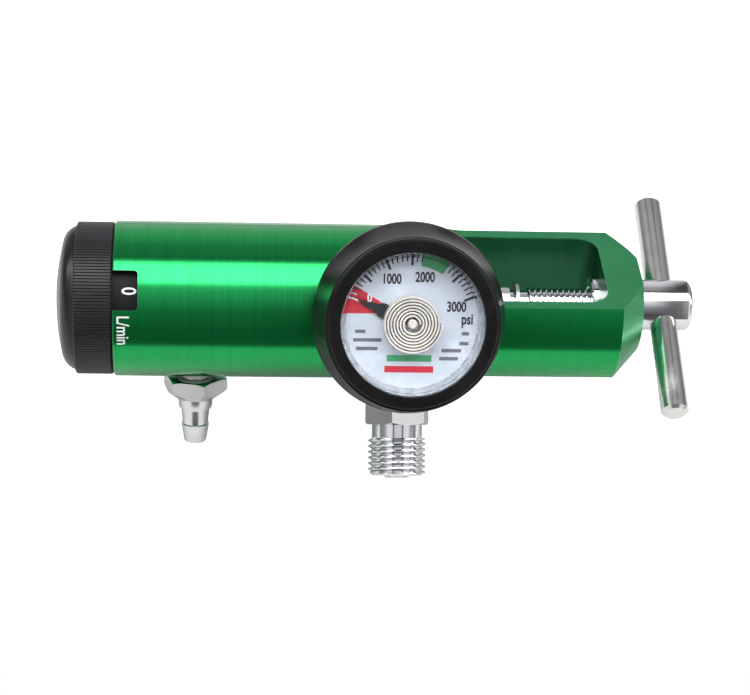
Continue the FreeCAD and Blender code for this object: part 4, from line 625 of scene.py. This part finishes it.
def hexagon_nut(across, low_cone, high_cone, turn):
    """A hexagon cut by a cone at each end. A cone is (level, radius there, slope in degrees)."""
    low, high = low_cone[0], high_cone[0]
    corner = across / math.sqrt(3) * MM
    bm = bmesh.new()
    bmesh.ops.create_cone(bm, cap_ends=True, segments=6, radius1=corner, radius2=corner,
                          depth=(high - low) * MM)
    bmesh.ops.rotate(bm, verts=bm.verts, cent=(0, 0, 0),
                     matrix=Matrix.Rotation(math.radians(30 + turn), 3, "Z"))
    bmesh.ops.translate(bm, verts=bm.verts, vec=(0, 0, (high + low) / 2 * MM))
    for step in range(CONE_STEPS):
        around = math.tau * step / CONE_STEPS
        spoke = Vector((math.cos(around), math.sin(around), 0))
        for (level, reach, slope), side in ((low_cone, -1), (high_cone, 1)):
            lean = math.radians(slope)
            facing = spoke * math.sin(lean) + Vector((0, 0, side * math.cos(lean)))
            cut_away(bm, spoke * reach * MM + Vector((0, 0, level * MM)), facing)
            bmesh.ops.holes_fill(bm, edges=[e for e in bm.edges if e.is_boundary], sides=0)
    bmesh.ops.recalc_face_normals(bm, faces=bm.faces)
    return bm


def bore_out(bm, radius, low, high):
    """Opens a bore through a closed piece whose two ends are level faces."""
    near = 0.01 * MM
    walls_of_bore = []
    for level in (low, high):
        ends = [f for f in bm.faces if all(abs(v.co.z - level * MM) < near for v in f.verts)]
        bmesh.ops.delete(bm, geom=ends, context="FACES")
        rim = open_rim(bm, level, near)
        at_level = Matrix.Translation((0, 0, level * MM))
        circle = bmesh.ops.create_circle(bm, cap_ends=False, segments=BORE_STEPS,
                                         radius=radius * MM, matrix=at_level)["verts"]
        ring = list({e for v in circle for e in v.link_edges})
        bmesh.ops.bridge_loops(bm, edges=rim + ring)
        walls_of_bore += ring
    bmesh.ops.bridge_loops(bm, edges=walls_of_bore)
    bmesh.ops.recalc_face_normals(bm, faces=bm.faces)
    return bm


def finish_piece(name, meshes, place, material, body, replaces=(), smooth=32):
    """Joins the made meshes, puts them in their place and hangs the piece on its body."""
    joined = bpy.data.meshes.new(name)
    whole = bmesh.new()
    for bm in meshes:
        part = bpy.data.meshes.new("part")
        bm.to_mesh(part)
        bm.free()
        whole.from_mesh(part)
        bpy.data.meshes.remove(part)
    bmesh.ops.transform(whole, matrix=place, verts=whole.verts)
    for face in whole.faces:
        face.smooth = True
    whole.to_mesh(joined)
    whole.free()
    joined.set_sharp_from_angle(angle=math.radians(smooth))
    joined.materials.append(material)
    thing = bpy.data.objects.new(name, joined)
    bpy.context.scene.collection.objects.link(thing)
    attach(thing, body)
    if replaces:
        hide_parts(*replaces)
    print("made", name, "with", len(joined.polygons), "faces")


# %% [markdown]
# ### Clamp screw
# From the left the screw has a nose with a groove where the clip sits, the long thread, a short
# smooth neck, and the hub that carries the T-bar. Each is turned, and the thread runs only where
# the photograph shows it, from the nose to the neck. The piece stands for the plain solid.

# %% Model the clamp screw
low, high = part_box("clamp_screw")
print("solid screw runs from", round(low.x / MM, 2), "to", round(high.x / MM, 2), "mm")
THREAD_PITCH = 1.411
SCREW_CREST, SCREW_ROOT, THREAD_LEFT, THREAD_RIGHT = 3.97, 3.30, 19.9, 47.2
HUB_LEFT, HUB_RIGHT = 47.7, 61.2
tip = spun_profile([(13.4, 0), (13.4, 2.6), (13.9, 3.15), (16.6, 3.15), (16.6, 2.6), (18.0, 2.6),
                    (18.0, 3.15), (THREAD_LEFT, 3.15), (20.4, 3.3), (20.4, 0)])
thread = threaded_sleeve(SCREW_CREST, SCREW_ROOT, THREAD_LEFT, THREAD_RIGHT, THREAD_PITCH)
neck = spun_profile([(46.6, 0), (46.6, 3.1), (47.9, 3.1), (47.9, 0)])
hub = spun_profile([(HUB_LEFT, 0), (HUB_LEFT, 5.95), (HUB_LEFT + 0.4, 6.35),
                    (HUB_RIGHT - 1.4, 6.35), (HUB_RIGHT - 0.95, 6.27), (HUB_RIGHT - 0.41, 5.94),
                    (HUB_RIGHT - 0.1, 5.5), (HUB_RIGHT, 4.95), (HUB_RIGHT, 0)])
finish_piece("dressed_screw", [tip, thread, neck, hub], lie_along_body, chrome_screw,
             "clamp", ["clamp_screw"])

# %% [markdown]
# ### Power outlet
# The outlet is a chromed fitting with a spanner hexagon, a neck and a coarse thread for a hose
# nut. Its bore is open, and the small valve inside it shows, so the bore is kept as a wall.

# %% Model the power outlet
OUTLET_END, OUTLET_BORE = 43.0, 4.3
NUT_LOW, NUT_HIGH = 20.4, 30.5
THREAD_LOW, THREAD_HIGH = 33.8, OUTLET_END - 0.5
stub = spun_profile([(18.4, 2.0), (18.4, 6.8), (20.2, 6.8), (NUT_LOW, 6.6), (NUT_LOW, OUTLET_BORE),
                     (22.0, OUTLET_BORE), (22.0, 2.0), (18.4, 2.0)])
nut = hexagon_nut(14.6, (NUT_LOW, 7.45, 30), (NUT_HIGH, 7.45, 30), -16.5)
nut = bore_out(nut, OUTLET_BORE, NUT_LOW, NUT_HIGH)
neck = spun_profile([(30.4, OUTLET_BORE), (30.4, 6.2), (33.7, 6.2), (34.0, 6.5),
                     (34.0, OUTLET_BORE), (30.4, OUTLET_BORE)])
thread = threaded_sleeve(7.14, 6.25, THREAD_LOW, THREAD_HIGH, THREAD_PITCH, steps=72)
thread = bore_out(thread, OUTLET_BORE, THREAD_LOW, THREAD_HIGH)
lip = spun_profile([(OUTLET_END - 0.8, OUTLET_BORE), (OUTLET_END - 0.8, 6.7), (THREAD_HIGH, 6.7),
                    (OUTLET_END, 6.2), (OUTLET_END, 4.5), (OUTLET_END - 0.2, OUTLET_BORE),
                    (OUTLET_END - 0.8, OUTLET_BORE)])
finish_piece("dressed_outlet", [stub, nut, neck, thread, lip], outlet_place, chrome_outlet,
             "body", ["outlet_fitting"])

# %% [markdown]
# ### Hose barb
# The small satin fitting near the knob takes a soft tube. Below its hexagon are a collar and two
# tapered rings, each with a sharp shoulder that faces back and keeps the tube on.

# %% Model the hose barb
barb_nut = hexagon_nut(14.1, (19.9, 7.3, 30), (25.3, 5.0, 38), 14.2)
barb_tube = spun_profile([(18.6, 0), (18.6, 3.6), (24.9, 3.6), (24.9, 4.25), (27.7, 4.15),
                          (28.25, 3.95), (28.4, 3.6), (28.4, 3.55), (31.6, 3.2), (32.3, 3.2),
                          (32.55, 3.45), (32.9, 3.4), (37.0, 2.75), (37.2, 2.6), (37.2, 1.6),
                          (30.0, 1.6), (30.0, 0)])
finish_piece("dressed_barb", [barb_nut, barb_tube], branch_place(BARB_AT, BARB_ANGLE),
             satin_barb, "body", ["hose_barb"])

# %% [markdown]
# ## Printed dial
# The print is modelled as very thin plates on the tin, so its edges stay sharp at any zoom. The
# scale has a mark each hundred, a longer and thicker one each five hundred, a red field at its
# start and a green one at its top, and plain numbers. The fields stay bare of words.

# %% Helpers for print
DIAL, PRINT, OVERPRINT, SUNK = 34.0, 0.05, 0.03, 0.01
LETTER_HEIGHT = 0.02


def ink_plate(points, height=PRINT):
    """A thin plate of ink on the dial, extruded upwards from its outline."""
    low, high = DIAL - SUNK, DIAL + height
    bm = bmesh.new()
    outline = [bm.verts.new((x * MM, y * MM, low * MM)) for x, y in points]
    bm.faces.new(outline)
    risen = bmesh.ops.extrude_face_region(bm, geom=bm.faces[:])["geom"]
    bmesh.ops.translate(bm, vec=(0, 0, (high - low) * MM),
                        verts=[g for g in risen if isinstance(g, bmesh.types.BMVert)])
    bmesh.ops.recalc_face_normals(bm, faces=bm.faces)
    return bm


def clock_point(angle, radius):
    """A point of the dial, with its angle counted clockwise from the top."""
    return (radius * math.sin(math.radians(angle)), radius * math.cos(math.radians(angle)))


def dial_field(start_angle, end_angle, inner, outer, height=PRINT):
    """A sector of the dial between two angles and two radii, in steps of about 3 degrees."""
    count = max(2, int(abs(end_angle - start_angle) / 3))
    angles = [start_angle + (end_angle - start_angle) * i / count for i in range(count + 1)]
    outside = [clock_point(a, outer) for a in angles]
    return ink_plate(outside + [clock_point(a, inner) for a in reversed(angles)], height)


def lettering(text, size, bold):
    """A word as a mesh, centred on the origin and facing up, in millimetres."""
    curve = bpy.data.curves.new(text, "FONT")
    curve.body, curve.size = text, size * MM
    curve.align_x, curve.align_y = "CENTER", "CENTER"
    curve.offset = bold * MM
    curve.extrude = LETTER_HEIGHT * MM
    curve.resolution_u = 6
    writing = bpy.data.objects.new(text, curve)
    bpy.context.scene.collection.objects.link(writing)
    bpy.context.view_layer.update()
    shown = writing.evaluated_get(bpy.context.evaluated_depsgraph_get())
    mesh = bpy.data.meshes.new_from_object(shown)
    bpy.data.objects.remove(writing)
    bm = bmesh.new()
    bm.from_mesh(mesh)
    bmesh.ops.remove_doubles(bm, verts=bm.verts, dist=1e-8)
    bpy.data.meshes.remove(mesh)
    return bm


def set_word(bm, place, level, narrow):
    """Makes a word narrower and moves it to its place on the dial."""
    x, y = place
    move = Matrix.Translation((x * MM, y * MM, level * MM))
    bmesh.ops.transform(bm, matrix=move @ Matrix.Diagonal((narrow, 1, 1, 1)), verts=bm.verts)
    return bm


def print_on_dial(name, meshes, ink):
    """Puts a made print on the dial as one piece."""
    finish_piece(name, meshes, gauge_place, ink, "body", smooth=20)


# %% Print the scale
SCALE_ZERO, PER_HUNDRED = -68.3, 4.52
MARK_RADIUS, MARK_OUTER = 15.0, 16.2
marks = []
for hundred in range(31):
    angle = SCALE_ZERO + PER_HUNDRED * hundred
    half_width, inner = (0.30, 13.2) if hundred % 5 == 0 else (0.16, 14.1)
    half = math.degrees(half_width / MARK_RADIUS)
    marks.append(dial_field(angle - half, angle + half, inner, MARK_OUTER, PRINT + 0.02))
print_on_dial("dial_scale", marks, black_ink)

# %% Print the red and green fields
wedge = ink_plate([clock_point(-57.5, 6.6), clock_point(-57.5, 16.0), clock_point(-63.0, 16.3),
                   clock_point(-69.5, 16.3), clock_point(-69.5, 12.4), clock_point(-80.0, 6.6)])
low_block = ink_plate([(-8.3, 1.9), (-8.3, 4.4), (-12.4, 5.7), (-15.3, 5.7), (-15.9, 3.9),
                       (-16.3, 1.9)])
print_on_dial("dial_low_field", [wedge, low_block], red_ink)
print_on_dial("dial_full_field", [dial_field(9.0, 32.0, 13.2, 16.4, PRINT + OVERPRINT)], green_ink)
zero_word = set_word(lettering("0", 2.9, 0.10), clock_point(-61.0, 11.2), DIAL + PRINT + OVERPRINT,
                     0.75)
zero_bars = [dial_field(SCALE_ZERO - 1.0, SCALE_ZERO + 0.6, 13.4, 16.3, PRINT + OVERPRINT),
             dial_field(SCALE_ZERO + 3.8, SCALE_ZERO + 4.8, 14.2, 16.3, PRINT + OVERPRINT)]
print_on_dial("dial_zero", zero_bars + [zero_word], white_ink)

# %% Print the numbers
words = [set_word(lettering(text, 3.25, 0.10), clock_point(angle, reach), DIAL + PRINT, 0.70)
         for text, angle, reach in (("1000", -25.9, 11.0), ("2000", 15.7, 10.8), ("3000", 71.0, 11.0))]
words.append(set_word(lettering("psi", 3.5, 0.10), (13.0, 0.7), DIAL + PRINT, 0.72))
print_on_dial("dial_numbers", words, black_ink)

# %% [markdown]
# The lower half of the real dial is full of small words. They are left as plain bars of ink, which
# keep the weight of the print from a step away and say nothing.

# %% Print plain bars in place of the small words
def bar(x, y, width, height):
    """A plain bar of ink, centred on a point of the dial."""
    return ink_plate([(x - width / 2, y - height / 2), (x + width / 2, y - height / 2),
                      (x + width / 2, y + height / 2), (x - width / 2, y + height / 2)])


SMALL_HEIGHT, WIDE_HEIGHT = 0.8, 1.5
SMALL_BARS = ((-11.8, -2.3, 2.4), (-10.1, -4.3, 6.6), (-10.2, -6.3, 5.0), (12.7, -2.6, 1.7),
              (12.4, -4.9, 2.1), (9.5, -6.6, 4.6), (8.9, -8.5, 4.4))
print_on_dial("dial_small_bars", [bar(x, y, width, SMALL_HEIGHT) for x, y, width in SMALL_BARS],
              small_ink)
print_on_dial("dial_green_bar", [bar(-0.3, -8.5, 10.4, WIDE_HEIGHT)], green_ink)
print_on_dial("dial_red_bar", [bar(-0.3, -11.1, 11.4, WIDE_HEIGHT)], red_ink)

# %% [markdown]
# ## Numbers on the flow drum
# The drum under the knob carries the flow settings, and the notch in the body shows one at a
# time. A flat number is cut into narrow strips and then wrapped round the drum, so that it
# follows the curve. The unit beside the notch is wrapped on the bar in the same way, in white.

# %% Wrap lettering round the body's axis
STRIP = 0.35


def wrapped_word(text, size, station, angle, radius, bold, wide):
    """Lettering read along the curve, wrapped on a cylinder about the body's axis."""
    bm = lettering(text, size, bold)
    bmesh.ops.scale(bm, vec=(wide, 1, 1), verts=bm.verts)
    reach = max(abs(v.co.x) for v in bm.verts)
    cuts = max(2, int(2 * reach / (STRIP * MM)))
    for i in range(1, cuts):
        bmesh.ops.bisect_plane(bm, geom=bm.verts[:] + bm.edges[:] + bm.faces[:], dist=1e-8,
                               plane_co=(-reach + 2 * reach * i / cuts, 0, 0), plane_no=(1, 0, 0))
    for v in bm.verts:
        around = math.radians(angle) + v.co.x / (radius * MM)
        out = radius * MM + v.co.z
        v.co = Vector((station * MM + v.co.y, -math.sin(around) * out, math.cos(around) * out))
    bmesh.ops.recalc_face_normals(bm, faces=bm.faces)
    return bm


STAY = Matrix.Identity(4)
DRUM_RADIUS, DRUM_AT, NOTCH_ANGLE = 16.7, -77.9, 46.5
UNIT_RADIUS, UNIT_AT, UNIT_ANGLE = 19.06, -79.2, 76.5
settings = ["0", "1/4", "1/2", "3/4", "1", "1.5", "2", "3", "4", "6", "8", "10", "15"]
step = 360.0 / len(settings)
ring_words = [wrapped_word(text, 4.9 if len(text) < 2 else 3.6, DRUM_AT, NOTCH_ANGLE - step * i,
                           DRUM_RADIUS + 0.02, 0.05, 0.78)
              for i, text in enumerate(settings)]
unit_word = wrapped_word("L/min", 4.2, UNIT_AT, UNIT_ANGLE, UNIT_RADIUS, 0.04, 0.82)
finish_piece("drum_numbers", ring_words, STAY, white_ink, "selector", smooth=20)
finish_piece("flow_unit", [unit_word], STAY, white_ink, "body", smooth=20)
